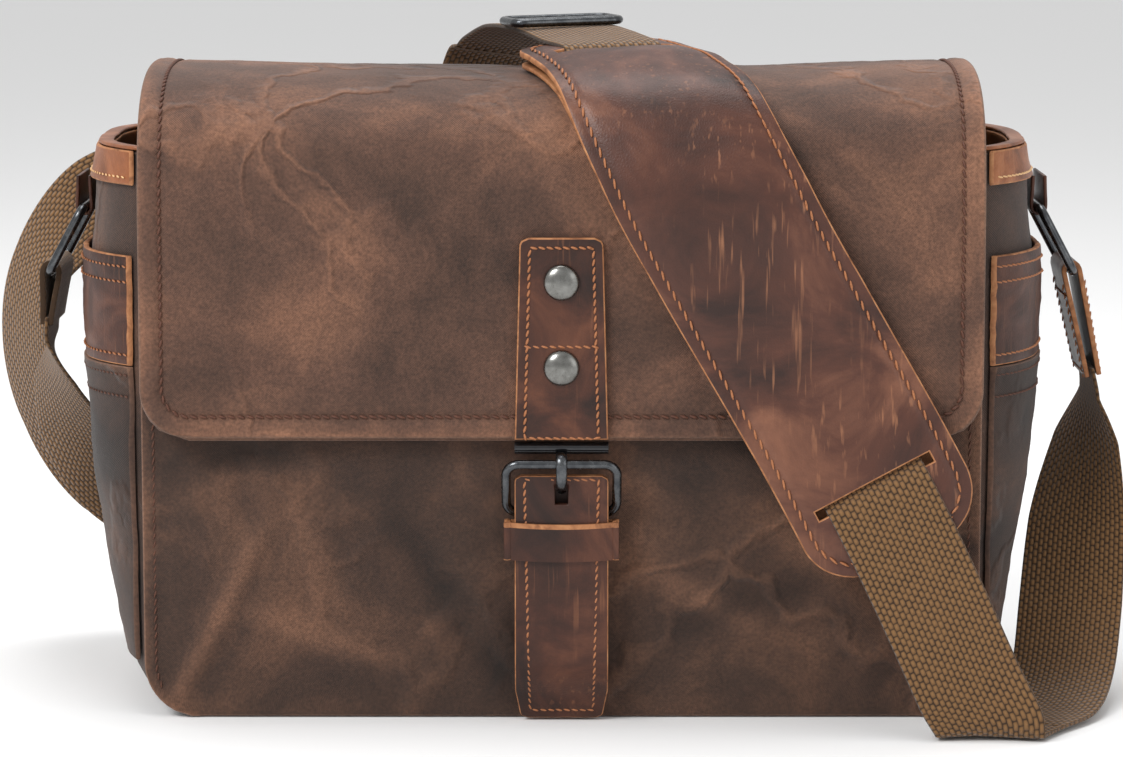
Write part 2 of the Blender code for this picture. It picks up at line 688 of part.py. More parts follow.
def make_loose_runs():
    """The webbing that stands and lies round the bag."""
    ribbon("webbing_side_right", [
        ((0.1968, 0.011, 0.1060), (0, -1, 0)),
        ((0.1960, 0.009, 0.0900), (0.50, -0.87, 0)),
        ((0.1915, -0.002, 0.0600), (0.88, -0.47, 0)),
        ((0.1875, -0.018, 0.0300), (0.98, -0.20, 0.02)),
        ((0.1825, -0.038, 0.0105), (0.95, -0.30, 0.06)),
        ((0.1745, -0.062, 0.0032), (0.87, -0.50, 0)),
        ((0.1580, -0.0830, 0.0016), (0.80, -0.60, 0)),
    ], 22, webbing)
    ribbon("webbing_back", [
        ((-0.0450, 0.0790, 0.1560), (0.42, 0, 0.90)),
        ((-0.0800, 0.0800, 0.1680), (0.25, 0, 0.97)),
        ((-0.1200, 0.0810, 0.1760), (0.12, 0, 0.99)),
        ((-0.1560, 0.0810, 0.1780), (-0.10, 0, 0.99)),
    ], 10, webbing)
    ribbon("webbing_left_outer", [
        ((-0.1580, 0.0810, 0.1780), (-0.12, 0, 0.99)),
        ((-0.1830, 0.0760, 0.1700), (-0.40, 0.45, 0.80)),
        ((-0.2010, 0.0640, 0.1480), (-0.55, 0.75, 0.30)),
        ((-0.2060, 0.0600, 0.1200), (-0.58, 0.80, 0)),
        ((-0.1990, 0.0660, 0.0900), (-0.58, 0.75, -0.30)),
        ((-0.1800, 0.0820, 0.0650), (-0.50, 0.35, -0.80)),
        ((-0.1520, 0.0960, 0.0500), (-0.30, 0.10, -0.95)),
        ((-0.1250, 0.0990, 0.0440), (-0.05, 0.0, -0.99)),
    ], 26, webbing)
    ribbon("webbing_left_inner", [
        ((-0.1895, 0.0110, 0.1280), (-0.02, 1, 0)),
        ((-0.1905, 0.0230, 0.1100), (-0.50, 0.86, 0)),
        ((-0.1865, 0.0440, 0.0880), (-0.76, 0.62, -0.18)),
        ((-0.1785, 0.0600, 0.0690), (-0.55, 0.48, -0.68)),
        ((-0.1620, 0.0745, 0.0550), (-0.36, 0.25, -0.90)),
        ((-0.1400, 0.0820, 0.0460), (-0.12, 0.05, -0.99)),
        ((-0.1230, 0.0850, 0.0440), (-0.05, 0.0, -0.99)),
    ], 24, webbing)


for old in list(bpy.data.objects):
    bpy.data.objects.remove(old)
parts = bpy.data.collections.new("camera_bag")
cutters = bpy.data.collections.new("cutters")
bpy.context.scene.collection.children.link(parts)
bpy.context.scene.collection.children.link(cutters)

canvas = finish("waxed canvas", CANVAS_BROWN, 0.75)
lining = finish("lining", LINING_GREY, 0.85)
board = finish("stiffener board", LINING_GREY, 0.7)
padding = finish("padded cloth", LINING_GREY, 0.9)
leather = finish("brown leather", LEATHER_BROWN, 0.5)
tan_leather = finish("tan leather", LEATHER_TAN, 0.5)
webbing = finish("cotton webbing", WEBBING_KHAKI, 0.85)
gunmetal = finish("gunmetal", GUNMETAL, 0.35, 1.0)
nickel = finish("nickel", NICKEL, 0.35, 1.0)
black_metal = finish("black metal", BLACK_METAL, 0.25, 1.0)

make_body()
make_insert()
make_flap()
make_closure()
make_rings()
make_strap()
make_loose_runs()
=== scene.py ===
"""Waxed canvas camera satchel: finished pieces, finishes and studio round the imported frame.

Metres, +Z up, front towards -Y. Every piece is built where the frame says its body is.
"""

from __future__ import annotations

import logging
import math
from collections.abc import Callable, Sequence
from dataclasses import dataclass, field
from enum import Enum

import bmesh
import bpy
from mathutils import Matrix, Vector, noise


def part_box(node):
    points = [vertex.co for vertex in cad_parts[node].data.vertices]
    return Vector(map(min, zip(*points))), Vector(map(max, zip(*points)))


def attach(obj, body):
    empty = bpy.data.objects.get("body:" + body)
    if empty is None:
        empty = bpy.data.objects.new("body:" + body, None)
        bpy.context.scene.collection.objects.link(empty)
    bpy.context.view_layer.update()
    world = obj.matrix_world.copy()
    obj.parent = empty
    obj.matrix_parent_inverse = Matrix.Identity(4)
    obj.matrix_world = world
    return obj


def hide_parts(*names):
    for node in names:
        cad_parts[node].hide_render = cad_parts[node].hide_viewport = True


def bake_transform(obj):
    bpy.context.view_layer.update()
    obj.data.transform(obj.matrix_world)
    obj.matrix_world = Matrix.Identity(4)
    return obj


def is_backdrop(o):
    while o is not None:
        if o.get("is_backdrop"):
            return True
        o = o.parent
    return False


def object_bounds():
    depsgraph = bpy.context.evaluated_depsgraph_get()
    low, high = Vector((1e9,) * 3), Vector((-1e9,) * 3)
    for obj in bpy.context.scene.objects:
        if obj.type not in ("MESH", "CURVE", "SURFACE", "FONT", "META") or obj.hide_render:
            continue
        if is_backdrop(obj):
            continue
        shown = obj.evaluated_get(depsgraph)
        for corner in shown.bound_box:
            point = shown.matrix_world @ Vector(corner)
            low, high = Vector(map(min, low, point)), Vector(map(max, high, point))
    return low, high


logging.basicConfig(level=logging.INFO, format="%(message)s")
log = logging.getLogger("camera_bag")

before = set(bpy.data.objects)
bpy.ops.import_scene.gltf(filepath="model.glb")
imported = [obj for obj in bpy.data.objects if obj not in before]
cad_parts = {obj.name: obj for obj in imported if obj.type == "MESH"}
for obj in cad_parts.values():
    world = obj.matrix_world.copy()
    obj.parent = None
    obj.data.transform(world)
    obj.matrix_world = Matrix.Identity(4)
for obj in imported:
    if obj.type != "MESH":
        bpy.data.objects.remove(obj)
CAD_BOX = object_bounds()

Surface = Callable[[float, float, float], Vector]
Colour = tuple[float, float, float]
Station = tuple[Sequence[float], Sequence[float]]
Material = bpy.types.Material
Piece = bpy.types.Object
Skin = tuple[Material, Material, Material]

GAP = 0.0003
BAR_SIDES = 20
TURN_STEPS = 40
SHARP_ANGLE = math.radians(50)
LEATHER_STITCH = (0.0028, 0.00048)
CANVAS_PITCH = 0.0034


class Side(Enum):
    """The bag's two ends."""

    LEFT = -1
    RIGHT = 1

    @property
    def word(self) -> str:
        """The side's name as used in piece names."""
        return self.name.lower()


# ---- shapes -------------------------------------------------------------------------------
class Route:
    """A smooth curve through a few points, read by its arc length."""

    REACH = 0.0012
    MARGIN = 0.0013

    def __init__(self, points: Sequence[Vector], steps: int = 16) -> None:
        """Samples the curve.

        Args:
            points: the points that it passes through.
            steps: samples between one point and the next.
        """
        points = [Vector(p) for p in points]
        knots = [2 * points[0] - points[1], *points, 2 * points[-1] - points[-2]]
        self.dots = [points[0]]
        for a, b, c, d in zip(knots, knots[1:], knots[2:], knots[3:]):
            for step in range(1, steps + 1):
                t = step / steps
                bend = (2 * a - 5 * b + 4 * c - d) * t**2 + (3 * b - a - 3 * c + d) * t**3
                self.dots.append(0.5 * (2 * b + (c - a) * t + bend))
        self.marks = [0.0]
        for p, q in zip(self.dots, self.dots[1:]):
            self.marks.append(self.marks[-1] + (q - p).length)
        self.length = self.marks[-1]

    def at(self, s: float) -> Vector:
        """The point at arc length s; past the ends the curve runs on straight."""
        low, high = 0, len(self.marks) - 2
        while low < high:
            middle = (low + high + 1) // 2
            if self.marks[middle] <= s:
                low = middle
            else:
                high = middle - 1
        span = self.marks[low + 1] - self.marks[low]
        return self.dots[low].lerp(self.dots[low + 1], (s - self.marks[low]) / span)

    def direction(self, s: float) -> Vector:
        """The unit tangent at arc length s."""
        return (self.at(s + self.REACH) - self.at(s - self.REACH)).normalized()

    def inner_direction(self, s: float) -> Vector:
        """The tangent at s, or just inside the nearer end."""
        return self.direction(min(max(s, self.MARGIN), self.length - self.MARGIN))

    def nearest(self, target: Sequence[float]) -> float:
        """The arc length of the sample closest to target."""
        goal = Vector(target)
        best = min(range(len(self.dots)), key=lambda i: (self.dots[i] - goal).length)
        return self.marks[best]


def between(pairs: Sequence[tuple[float, float | Vector]], value: float) -> float | Vector:
    """Reads a number or vector between (place, amount) pairs.

    Args:
        pairs: the places, rising, with the amount at each.
        value: the place to read.

    Returns:
        The amount there.
    """
    for (low, a), (high, b) in zip(pairs, pairs[1:]):
        if value <= high:
            return a + (b - a) * max(0.0, (value - low) / (high - low))
    return pairs[-1][1]


def end_rounding(distance: float, radius: float) -> float:
    """How much narrower a strip with rounded corners is, at a distance from its end."""
    if distance >= radius:
        return 0.0
    return radius - math.sqrt(max(0.0, radius**2 - (radius - distance) ** 2))


def bell(distance: float, width: float) -> float:
    """1 at no distance, falling off smoothly over about a width."""
    return math.exp(-((distance / width) ** 2))


def ridge(x: float, y: float, start: tuple, end: tuple, width: float) -> float:
    """A crease's height share at a flat point.

    Args:
        x: the point's place across.
        y: the point's place along.
        start: the crease's first end.
        end: its other end.
        width: how far it reaches to each side.

    Returns:
        1 on the middle of the crease, falling to 0 beside it and at its ends.
    """
    a, b, p = Vector(start), Vector(end), Vector((x, y))
    share = max(0.0, min(1.0, (p - a).dot(b - a) / (b - a).length_squared))
    distance = (p - a - (b - a) * share).length
    return bell(distance, width) * math.sin(math.pi * (0.08 + 0.84 * share))


def soft_noise(point: Sequence[float], scale: float, seed: float) -> float:
    """Smooth noise from -1 to 1, scale being its waves per metre."""
    return noise.fractal(Vector(point) * scale + Vector((seed, 0, -seed)), 0.9, 2.2, 4)


def spread(count: int, *extra: float) -> list[float]:
    """Even shares from 0 to 1, with extra ones let in between them."""
    even = [i / count for i in range(count + 1)]
    kept = [v for v in even if all(abs(v - e) > 0.3 / count for e in extra)]
    return sorted([*kept, *extra])


@dataclass
class Shell:
    """A sheet between two heights over a surface, with its own cloth coordinates."""

    name: str
    surface: Surface
    size: tuple[float, float]
    across: list[float]
    along: list[float]
    low: float
    high: float
    rounding: float = 0.0004
    hole: Callable[[float, float], bool] | None = None
    relief: Callable[[float, float], float] | None = None
    wear: Callable[[float, float], float] | None = None
    both_sides: bool = True

    def build(self, skin: Skin, body: str, slot: str, *nodes: str) -> Piece:
        """Makes the closed piece and puts it on its body.

        Args:
            skin: the finishes of its outer face, inner face and cut edges.
            body: the body that it moves with, or an empty name to leave it unattached.
            slot: passed on to settle, which does not use it.
            nodes: the CAD nodes that it stands for.

        Returns:
            The new object.
        """
        bm = bmesh.new()
        cloth = bm.loops.layers.uv.new("Cloth")
        worn = bm.verts.layers.float.new("wear")
        places: dict[bmesh.types.BMVert, tuple[float, float]] = {}
        grids = []
        for base in (self.high, self.low):
            grid = []
            for v in self.along:
                row = []
                for u in self.across:
                    lift = self.relief(u, v) if self.relief else 0.0
                    if base == self.low and not self.both_sides:
                        lift = min(lift, 0.0)
                    vert = bm.verts.new(self.surface(u, v, base + lift))
                    vert[worn] = self.wear(u, v) if self.wear else 0.5
                    places[vert] = (u * self.size[0], v * self.size[1])
                    row.append(vert)
                grid.append(row)
            grids.append(grid)
        top, bottom = grids
        counts: dict[tuple, int] = {}
        cells = []
        for j, (v, v_next) in enumerate(zip(self.along, self.along[1:])):
            for i, (u, u_next) in enumerate(zip(self.across, self.across[1:])):
                if self.hole and self.hole((u + u_next) / 2, (v + v_next) / 2):
                    continue
                ring = ((j, i), (j, i + 1), (j + 1, i + 1), (j + 1, i))
                cells.append(ring)
                for a, b in zip(ring, ring[1:] + ring[:1]):
                    counts[(a, b)] = 1
        for ring in cells:
            bm.faces.new([top[j][i] for j, i in ring]).material_index = 0
            bm.faces.new([bottom[j][i] for j, i in reversed(ring)]).material_index = 1
        rims = []
        for a, b in counts:
            if (b, a) not in counts:
                rims.append(bm.faces.new([top[b[0]][b[1]], top[a[0]][a[1]],
                                          bottom[a[0]][a[1]], bottom[b[0]][b[1]]]))
                rims[-1].material_index = 2
        loose = [vert for vert in bm.verts if not vert.link_faces]
        bmesh.ops.delete(bm, geom=loose, context="VERTS")
        for face in bm.faces:
            for loop in face.loops:
                loop[cloth].uv = places[loop.vert]
        if self.rounding:
            corners = [e for f in rims for e in f.edges
                       if len({g.material_index for g in e.link_faces}) > 1]
            bmesh.ops.bevel(bm, geom=list(set(corners)), offset=self.rounding, segments=2,
                            affect="EDGES", profile=0.5, material=2)
        bmesh.ops.recalc_face_normals(bm, faces=bm.faces)
        return settle(finished(self.name, bm, skin), body, slot, *nodes)


def finished(name: str, bm: bmesh.types.BMesh,
             finishes: Sequence[Material]) -> Piece:
    """A bmesh as a smooth-shaded object in the scene.

    Args:
        name: the piece's name.
        bm: its shape, which is freed.
        finishes: its materials, in slot order.

    Returns:
        The new object.
    """
    mesh = bpy.data.meshes.new(name)
    bm.to_mesh(mesh)
    bm.free()
    for material in finishes:
        mesh.materials.append(material)
    mesh.shade_smooth()
    mesh.set_sharp_from_angle(angle=SHARP_ANGLE)
    piece = bpy.data.objects.new(name, mesh)
    bpy.context.scene.collection.objects.link(piece)
    return piece


def settle(piece: Piece, body: str, slot: str, *nodes: str) -> Piece:
    """Puts a finished piece on its body, in place of CAD nodes.

    Args:
        piece: the piece.
        body: the body that it moves with, or an empty name to leave it unattached.
        slot: not used.
        nodes: the CAD nodes that it stands for.

    Returns:
        The piece.
    """
    if body:
        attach(piece, body)
    if nodes:
        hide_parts(*nodes)
    log.info("%s: %d faces", piece.name, len(piece.data.polygons))
    return piece


def dress(node: str, material: Material) -> None:
    """Gives a CAD node that stays its finish."""
    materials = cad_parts[node].data.materials
    materials.clear()
    materials.append(material)


def tube(name: str, points: Sequence[Vector], radius: float, material: Material,
         closed: bool = False, flat: float = 1.0) -> Piece:
    """A round bar along points, made a plain mesh.

    Args:
        name: the piece's name.
        points: the middle of the bar.
        radius: half its thickness.
        material: its finish.
        closed: whether it joins up.
        flat: the radius share at the last point, for a tapered tip.

    Returns:
        The new object.
    """
    bm = bmesh.new()
    rings = []
    count = len(points)
    last_across = None
    for i, point in enumerate(points):
        if closed:
            along = points[(i + 1) % count] - points[i - 1]
        else:
            along = points[min(i + 1, count - 1)] - points[max(i - 1, 0)]
        along.normalize()
        if last_across is None:
            guess = Vector((0, 0, 1)) if abs(along.z) < 0.9 else Vector((1, 0, 0))
            last_across = along.cross(guess).normalized()
        across = (last_across - along * last_across.dot(along)).normalized()
        last_across = across
        other = along.cross(across)
        size = radius * (1 + (flat - 1) * (i / (count - 1)) ** 3)
        rings.append([bm.verts.new(point + size * (across * math.cos(a) + other * math.sin(a)))
                      for a in (2 * math.pi * k / BAR_SIDES for k in range(BAR_SIDES))])
    pairs = list(zip(rings, rings[1:] + rings[:1] if closed else rings[1:]))
    for first, second in pairs:
        for k in range(BAR_SIDES):
            bm.faces.new((first[k], first[(k + 1) % BAR_SIDES], second[(k + 1) % BAR_SIDES], second[k]))
    if not closed:
        bm.faces.new(rings[0])
        bm.faces.new(rings[-1])
    bmesh.ops.recalc_face_normals(bm, faces=bm.faces)
    return finished(name, bm, [material])


def rounded_loop(half_width: float, half_height: float, radius: float,
                 per_corner: int = 8) -> list[Vector]:
    """Points of a rounded rectangle in the XY plane, counter-clockwise.

    Args:
        half_width: half its width.
        half_height: half its height.
        radius: its corners' radius.
        per_corner: steps in each corner.

    Returns:
        The points.
    """
    points = []
    for side_x, side_y, start in ((1, 1, 0), (-1, 1, 90), (-1, -1, 180), (1, -1, 270)):
        centre = Vector((side_x * (half_width - radius), side_y * (half_height - radius), 0))
        for step in range(per_corner + 1):
            angle = math.radians(start + 90 * step / per_corner)
            points.append(centre + radius * Vector((math.cos(angle), math.sin(angle), 0)))
    return points


def turned(name: str, profile: Sequence[tuple[float, float]], place: Matrix,
           material: Material) -> Piece:
    """A piece turned about its own Z and then placed.

    Args:
        name: the piece's name.
        profile: (radius, height) points, starting and ending on the axis.
        place: where it goes.
        material: its finish.

    Returns:
        The new object.
    """
    bm = bmesh.new()
    verts = [bm.verts.new((radius, 0, height)) for radius, height in profile]
    edges = [bm.edges.new(pair) for pair in zip(verts, verts[1:])]
    bmesh.ops.spin(bm, geom=[*verts, *edges], cent=(0, 0, 0), axis=(0, 0, 1),
                   angle=2 * math.pi, steps=TURN_STEPS, use_merge=True)
    bmesh.ops.remove_doubles(bm, verts=bm.verts, dist=1e-6)
    bmesh.ops.transform(bm, matrix=place, verts=bm.verts)
    bmesh.ops.recalc_face_normals(bm, faces=bm.faces)
    return finished(name, bm, [material])


# ---- finishes ------------------------------------------------------------------------------
def arrange(tree: bpy.types.NodeTree, groups: dict[str, list[bpy.types.Node]]) -> None:
    """Puts each group of nodes in a labelled frame, left to right.

    Args:
        tree: the material's nodes.
        groups: the frames' labels and what each holds.
    """
    for row, (label, members) in enumerate(groups.items()):
        holder = tree.nodes.new("NodeFrame")
        holder.label = label
        for column, node in enumerate(members):
            node.parent = holder
            node.location = (220 * column, -420 * row)


def new_material(name: str) -> tuple[Material, bpy.types.Node]:
    """A material with its shader and output only, and its shader."""
    material = bpy.data.materials.new(name)
    material.use_nodes = True
    return material, material.node_tree.nodes["Principled BSDF"]


def set_ramp(ramp: bpy.types.Node, stops: Sequence[tuple[float, Colour]]) -> None:
    """Gives a colour ramp its stops.

    Args:
        ramp: the ramp node.
        stops: each stop's position and colour.
    """
    elements = ramp.color_ramp.elements
    while len(elements) < len(stops):
        elements.new(0.5)
    for element, (position, colour) in zip(elements, stops):
        element.position = position
        element.color = (*colour, 1.0)


@dataclass(frozen=True)
class ClothFinish:
    """Woven cloth, rubbed lighter where the wear attribute is high."""

    name: str
    dark: Colour
    middle: Colour
    light: Colour
    roughness: float = 0.8
    thread: float = 0.00085
    weave_depth: float = 0.00012
    patch: float = 17.0
    sheen: float = 0.1
    folds: float = 1.0
    fold_scale: float = 17.0

    def build(self) -> Material:
        """Writes the material's nodes."""
        material, shader = new_material(self.name)
        tree = material.node_tree
        nodes, links = tree.nodes, tree.links
        place = nodes.new("ShaderNodeTexCoord")
        place.label = "Where on the bag"
        patches = nodes.new("ShaderNodeTexNoise")
        patches.label = "Uneven wax"
        worn = nodes.new("ShaderNodeAttribute")
        worn.label = "Rubbed places"
        worn.attribute_name = "wear"
        bend = nodes.new("ShaderNodeTexNoise")
        bend.label = "Folds bend about"
        bent = nodes.new("ShaderNodeMix")
        bent.label = "Bent place"
        bent.data_type = "VECTOR"
        cells = nodes.new("ShaderNodeTexVoronoi")
        cells.label = "Net of small folds"
        cells.feature = "DISTANCE_TO_EDGE"
        folds = nodes.new("ShaderNodeMapRange")
        folds.label = "Only near a fold"
        folds.interpolation_type = "SMOOTHERSTEP"
        kept = nodes.new("ShaderNodeMapRange")
        kept.label = "Folds come and go"
        fold = nodes.new("ShaderNodeMath")
        fold.label = "Fold amount"
        fold.operation = "MULTIPLY"
        rubbed = nodes.new("ShaderNodeMath")
        rubbed.label = "Folds rub lighter"
        rubbed.operation = "MULTIPLY_ADD"
        both = nodes.new("ShaderNodeMath")
        both.label = "Wax and rubbing together"
        both.operation = "ADD"
        ramp = nodes.new("ShaderNodeValToRGB")
        ramp.label = "Dark wax to rubbed thread"
        set_ramp(ramp, ((0.36, self.dark), (0.485, self.middle), (0.64, self.light)))
        halved = nodes.new("ShaderNodeMath")
        halved.label = "Back to one range"
        halved.operation = "MULTIPLY"
        flecks = nodes.new("ShaderNodeTexNoise")
        flecks.label = "Flecked yarn"
        fleck_range = nodes.new("ShaderNodeMapRange")
        fleck_range.label = "How strong the flecks are"
        tint = nodes.new("ShaderNodeVectorMath")
        tint.label = "Colour with flecks"
        tint.operation = "SCALE"
        cloth = nodes.new("ShaderNodeUVMap")
        cloth.label = "Along the threads"
        cloth.uv_map = "Cloth"
        turns = nodes.new("ShaderNodeVectorMath")
        turns.label = "Threads per metre"
        turns.operation = "SCALE"
        waves = nodes.new("ShaderNodeVectorMath")
        waves.label = "Round threads"
        waves.operation = "SINE"
        split = nodes.new("ShaderNodeSeparateXYZ")
        split.label = "Warp and weft"
        crossing = nodes.new("ShaderNodeMath")
        crossing.label = "Over and under"
        crossing.operation = "MULTIPLY"
        slub = nodes.new("ShaderNodeMath")
        slub.label = "Weave with uneven yarn"
        slub.operation = "ADD"
        bump = nodes.new("ShaderNodeBump")
        bump.label = "Woven surface"
        raised = nodes.new("ShaderNodeBump")
        raised.label = "Small folds"
        gloss = nodes.new("ShaderNodeMapRange")
        gloss.label = "Wax is smoother"
        arrange(tree, {
            "Colour": [place, patches, worn, both, halved, ramp],
            "Flecks": [flecks, fleck_range, tint],
            "Small folds": [bend, bent, cells, folds, kept, fold, rubbed, raised],
            "Weave": [cloth, turns, waves, split, crossing, slub, bump],
            "Gloss": [gloss],
        })
        for node, entry, value in (
                (patches, "Scale", self.patch), (patches, "Detail", 6.0),
                (patches, "Roughness", 0.62), (patches, "Distortion", 0.6), (bend, "Scale", 9.0),
                (bend, "Detail", 5.0), (bent, "Factor", 0.22), (cells, "Scale", self.fold_scale),
                (folds, "From Min", 0.0), (folds, "From Max", 0.09), (folds, "To Min", 1.0),
                (folds, "To Max", 0.0), (kept, "From Min", 0.4), (kept, "From Max", 0.58),
                (kept, "To Max", self.folds), (rubbed, 1, 0.11), (halved, 1, 0.5),
                (flecks, "Scale", 900.0), (flecks, "Detail", 3.0), (fleck_range, "From Min", 0.3),
                (fleck_range, "From Max", 0.7), (fleck_range, "To Min", 0.72),
                (fleck_range, "To Max", 1.28), (turns, "Scale", 2 * math.pi / self.thread),
                (bump, "Strength", 0.55), (bump, "Distance", self.weave_depth),
                (raised, "Strength", 0.7), (raised, "Distance", 0.002),
                (gloss, "To Min", self.roughness - 0.12), (gloss, "To Max", self.roughness + 0.1),
                (shader, "Sheen Weight", self.sheen), (shader, "Sheen Roughness", 0.5),
                (shader, "Specular IOR Level", 0.35)):
            node.inputs[entry].default_value = value
        links.new(place.outputs["Object"], patches.inputs["Vector"])
        links.new(place.outputs["Object"], bend.inputs["Vector"])
        links.new(place.outputs["Object"], bent.inputs["A"])
        links.new(bend.outputs["Color"], bent.inputs["B"])
        links.new(bent.outputs["Result"], cells.inputs["Vector"])
        links.new(cells.outputs["Distance"], folds.inputs["Value"])
        links.new(bend.outputs["Fac"], kept.inputs["Value"])
        links.new(folds.outputs["Result"], fold.inputs[0])
        links.new(kept.outputs["Result"], fold.inputs[1])
        links.new(fold.outputs[0], rubbed.inputs[0])
        links.new(worn.outputs["Fac"], rubbed.inputs[2])
        links.new(patches.outputs["Fac"], both.inputs[0])
        links.new(rubbed.outputs[0], both.inputs[1])
        links.new(both.outputs[0], halved.inputs[0])
        links.new(halved.outputs[0], ramp.inputs["Fac"])
        links.new(place.outputs["Object"], flecks.inputs["Vector"])
        links.new(flecks.outputs["Fac"], fleck_range.inputs["Value"])
        links.new(ramp.outputs["Color"], tint.inputs[0])
        links.new(fleck_range.outputs["Result"], tint.inputs["Scale"])
        links.new(tint.outputs["Vector"], shader.inputs["Base Color"])
        links.new(cloth.outputs["UV"], turns.inputs[0])
        links.new(turns.outputs["Vector"], waves.inputs[0])
        links.new(waves.outputs["Vector"], split.inputs[0])
        links.new(split.outputs["X"], crossing.inputs[0])
        links.new(split.outputs["Y"], crossing.inputs[1])
        links.new(crossing.outputs[0], slub.inputs[0])
        links.new(flecks.outputs["Fac"], slub.inputs[1])
        links.new(slub.outputs[0], bump.inputs["Height"])
        links.new(fold.outputs[0], raised.inputs["Height"])
        links.new(bump.outputs["Normal"], raised.inputs["Normal"])
        links.new(raised.outputs["Normal"], shader.inputs["Normal"])
        links.new(patches.outputs["Fac"], gloss.inputs["Value"])
        links.new(gloss.outputs["Result"], shader.inputs["Roughness"])
        return material


@dataclass(frozen=True)
class LeatherFinish:
    """Oiled leather: cloudy colour, pale scratches, pores and waxy gloss."""

    name: str
    dark: Colour
    middle: Colour
    light: Colour
    scratch: Colour
    roughness: float = 0.45
    scratches: float = 1.0
    cloud: float = 22.0

    def build(self) -> Material:
        """Writes the material's nodes."""
        material, shader = new_material(self.name)
        tree = material.node_tree
        nodes, links = tree.nodes, tree.links
        place = nodes.new("ShaderNodeTexCoord")
        place.label = "Where on the hide"
        clouds = nodes.new("ShaderNodeTexNoise")
        clouds.label = "Oil moved about in the hide"
        ramp = nodes.new("ShaderNodeValToRGB")
        ramp.label = "Dark oil to pulled-up light"
        set_ramp(ramp, ((0.34, self.dark), (0.52, self.middle), (0.72, self.light)))
        lines = []
        scratch_nodes = []
        for turn, lean in ((0.55, 0.4), (-0.75, -0.5)):
            lay = nodes.new("ShaderNodeMapping")
            lay.label = "Way the scratches run"
            lay.inputs["Rotation"].default_value = (lean, turn, 0.3)
            lay.inputs["Scale"].default_value = (1.0, 1.0, 0.06)
            links.new(place.outputs["Object"], lay.inputs["Vector"])
            streak = nodes.new("ShaderNodeTexNoise")
            streak.label = "Fine scratches"
            streak.inputs["Scale"].default_value = 520.0
            streak.inputs["Detail"].default_value = 2.0
            links.new(lay.outputs["Vector"], streak.inputs["Vector"])
            thin = nodes.new("ShaderNodeMapRange")
            thin.label = "Only the sharpest lines"
            thin.inputs["From Min"].default_value = 0.62
            thin.inputs["From Max"].default_value = 0.72
            links.new(streak.outputs["Fac"], thin.inputs["Value"])
            lines.append(thin)
            scratch_nodes += [lay, streak, thin]
        joined = nodes.new("ShaderNodeMath")
        joined.label = "Both sets of scratches"
        joined.operation = "MAXIMUM"
        where = nodes.new("ShaderNodeTexNoise")
        where.label = "Scuffed areas"
        area = nodes.new("ShaderNodeMapRange")
        area.label = "Where it was scuffed"
        amount = nodes.new("ShaderNodeMath")
        amount.label = "Scratches there"
        amount.operation = "MULTIPLY"
        mix = nodes.new("ShaderNodeMix")
        mix.label = "Hide with scratches"
        mix.data_type = "RGBA"
        pores = nodes.new("ShaderNodeTexVoronoi")
        pores.label = "Grain"
        pores.feature = "DISTANCE_TO_EDGE"
        swell = nodes.new("ShaderNodeTexNoise")
        swell.label = "Soft unevenness"
        height = nodes.new("ShaderNodeMath")
        height.label = "Grain and unevenness"
        height.operation = "ADD"
        bump = nodes.new("ShaderNodeBump")
        bump.label = "Leather surface"
        gloss = nodes.new("ShaderNodeMapRange")
        gloss.label = "Rubbed is glossier"
        arrange(tree, {
            "Colour": [place, clouds, ramp, mix],
            "Scratches": [*scratch_nodes, joined, where, area, amount],
            "Grain": [pores, swell, height, bump],
            "Gloss": [gloss],
        })
        for node, entry, value in (
                (clouds, "Scale", self.cloud), (clouds, "Detail", 8.0), (clouds, "Roughness", 0.6),
                (clouds, "Distortion", 1.2), (where, "Scale", 26.0), (where, "Detail", 4.0),
                (where, "Distortion", 0.8), (area, "From Min", 0.42), (area, "From Max", 0.62),
                (area, "To Max", self.scratches), (mix, "B", (*self.scratch, 1.0)),
                (pores, "Scale", 900.0), (swell, "Scale", 240.0), (swell, "Detail", 4.0),
                (bump, "Strength", 0.4), (bump, "Distance", 0.00025),
                (gloss, "To Min", self.roughness + 0.14), (gloss, "To Max", self.roughness - 0.12),
                (shader, "Specular IOR Level", 0.36)):
            node.inputs[entry].default_value = value
        links.new(place.outputs["Object"], clouds.inputs["Vector"])
        links.new(clouds.outputs["Fac"], ramp.inputs["Fac"])
        links.new(lines[0].outputs["Result"], joined.inputs[0])
        links.new(lines[1].outputs["Result"], joined.inputs[1])
        links.new(place.outputs["Object"], where.inputs["Vector"])
        links.new(where.outputs["Fac"], area.inputs["Value"])
        links.new(joined.outputs[0], amount.inputs[0])
        links.new(area.outputs["Result"], amount.inputs[1])
        links.new(amount.outputs[0], mix.inputs["Factor"])
        links.new(ramp.outputs["Color"], mix.inputs["A"])
        links.new(mix.outputs["Result"], shader.inputs["Base Color"])
        links.new(place.outputs["Object"], pores.inputs["Vector"])
        links.new(place.outputs["Object"], swell.inputs["Vector"])
        links.new(pores.outputs["Distance"], height.inputs[0])
        links.new(swell.outputs["Fac"], height.inputs[1])
        links.new(height.outputs[0], bump.inputs["Height"])
        links.new(bump.outputs["Normal"], shader.inputs["Normal"])
        links.new(clouds.outputs["Fac"], gloss.inputs["Value"])
        links.new(gloss.outputs["Result"], shader.inputs["Roughness"])
        return material


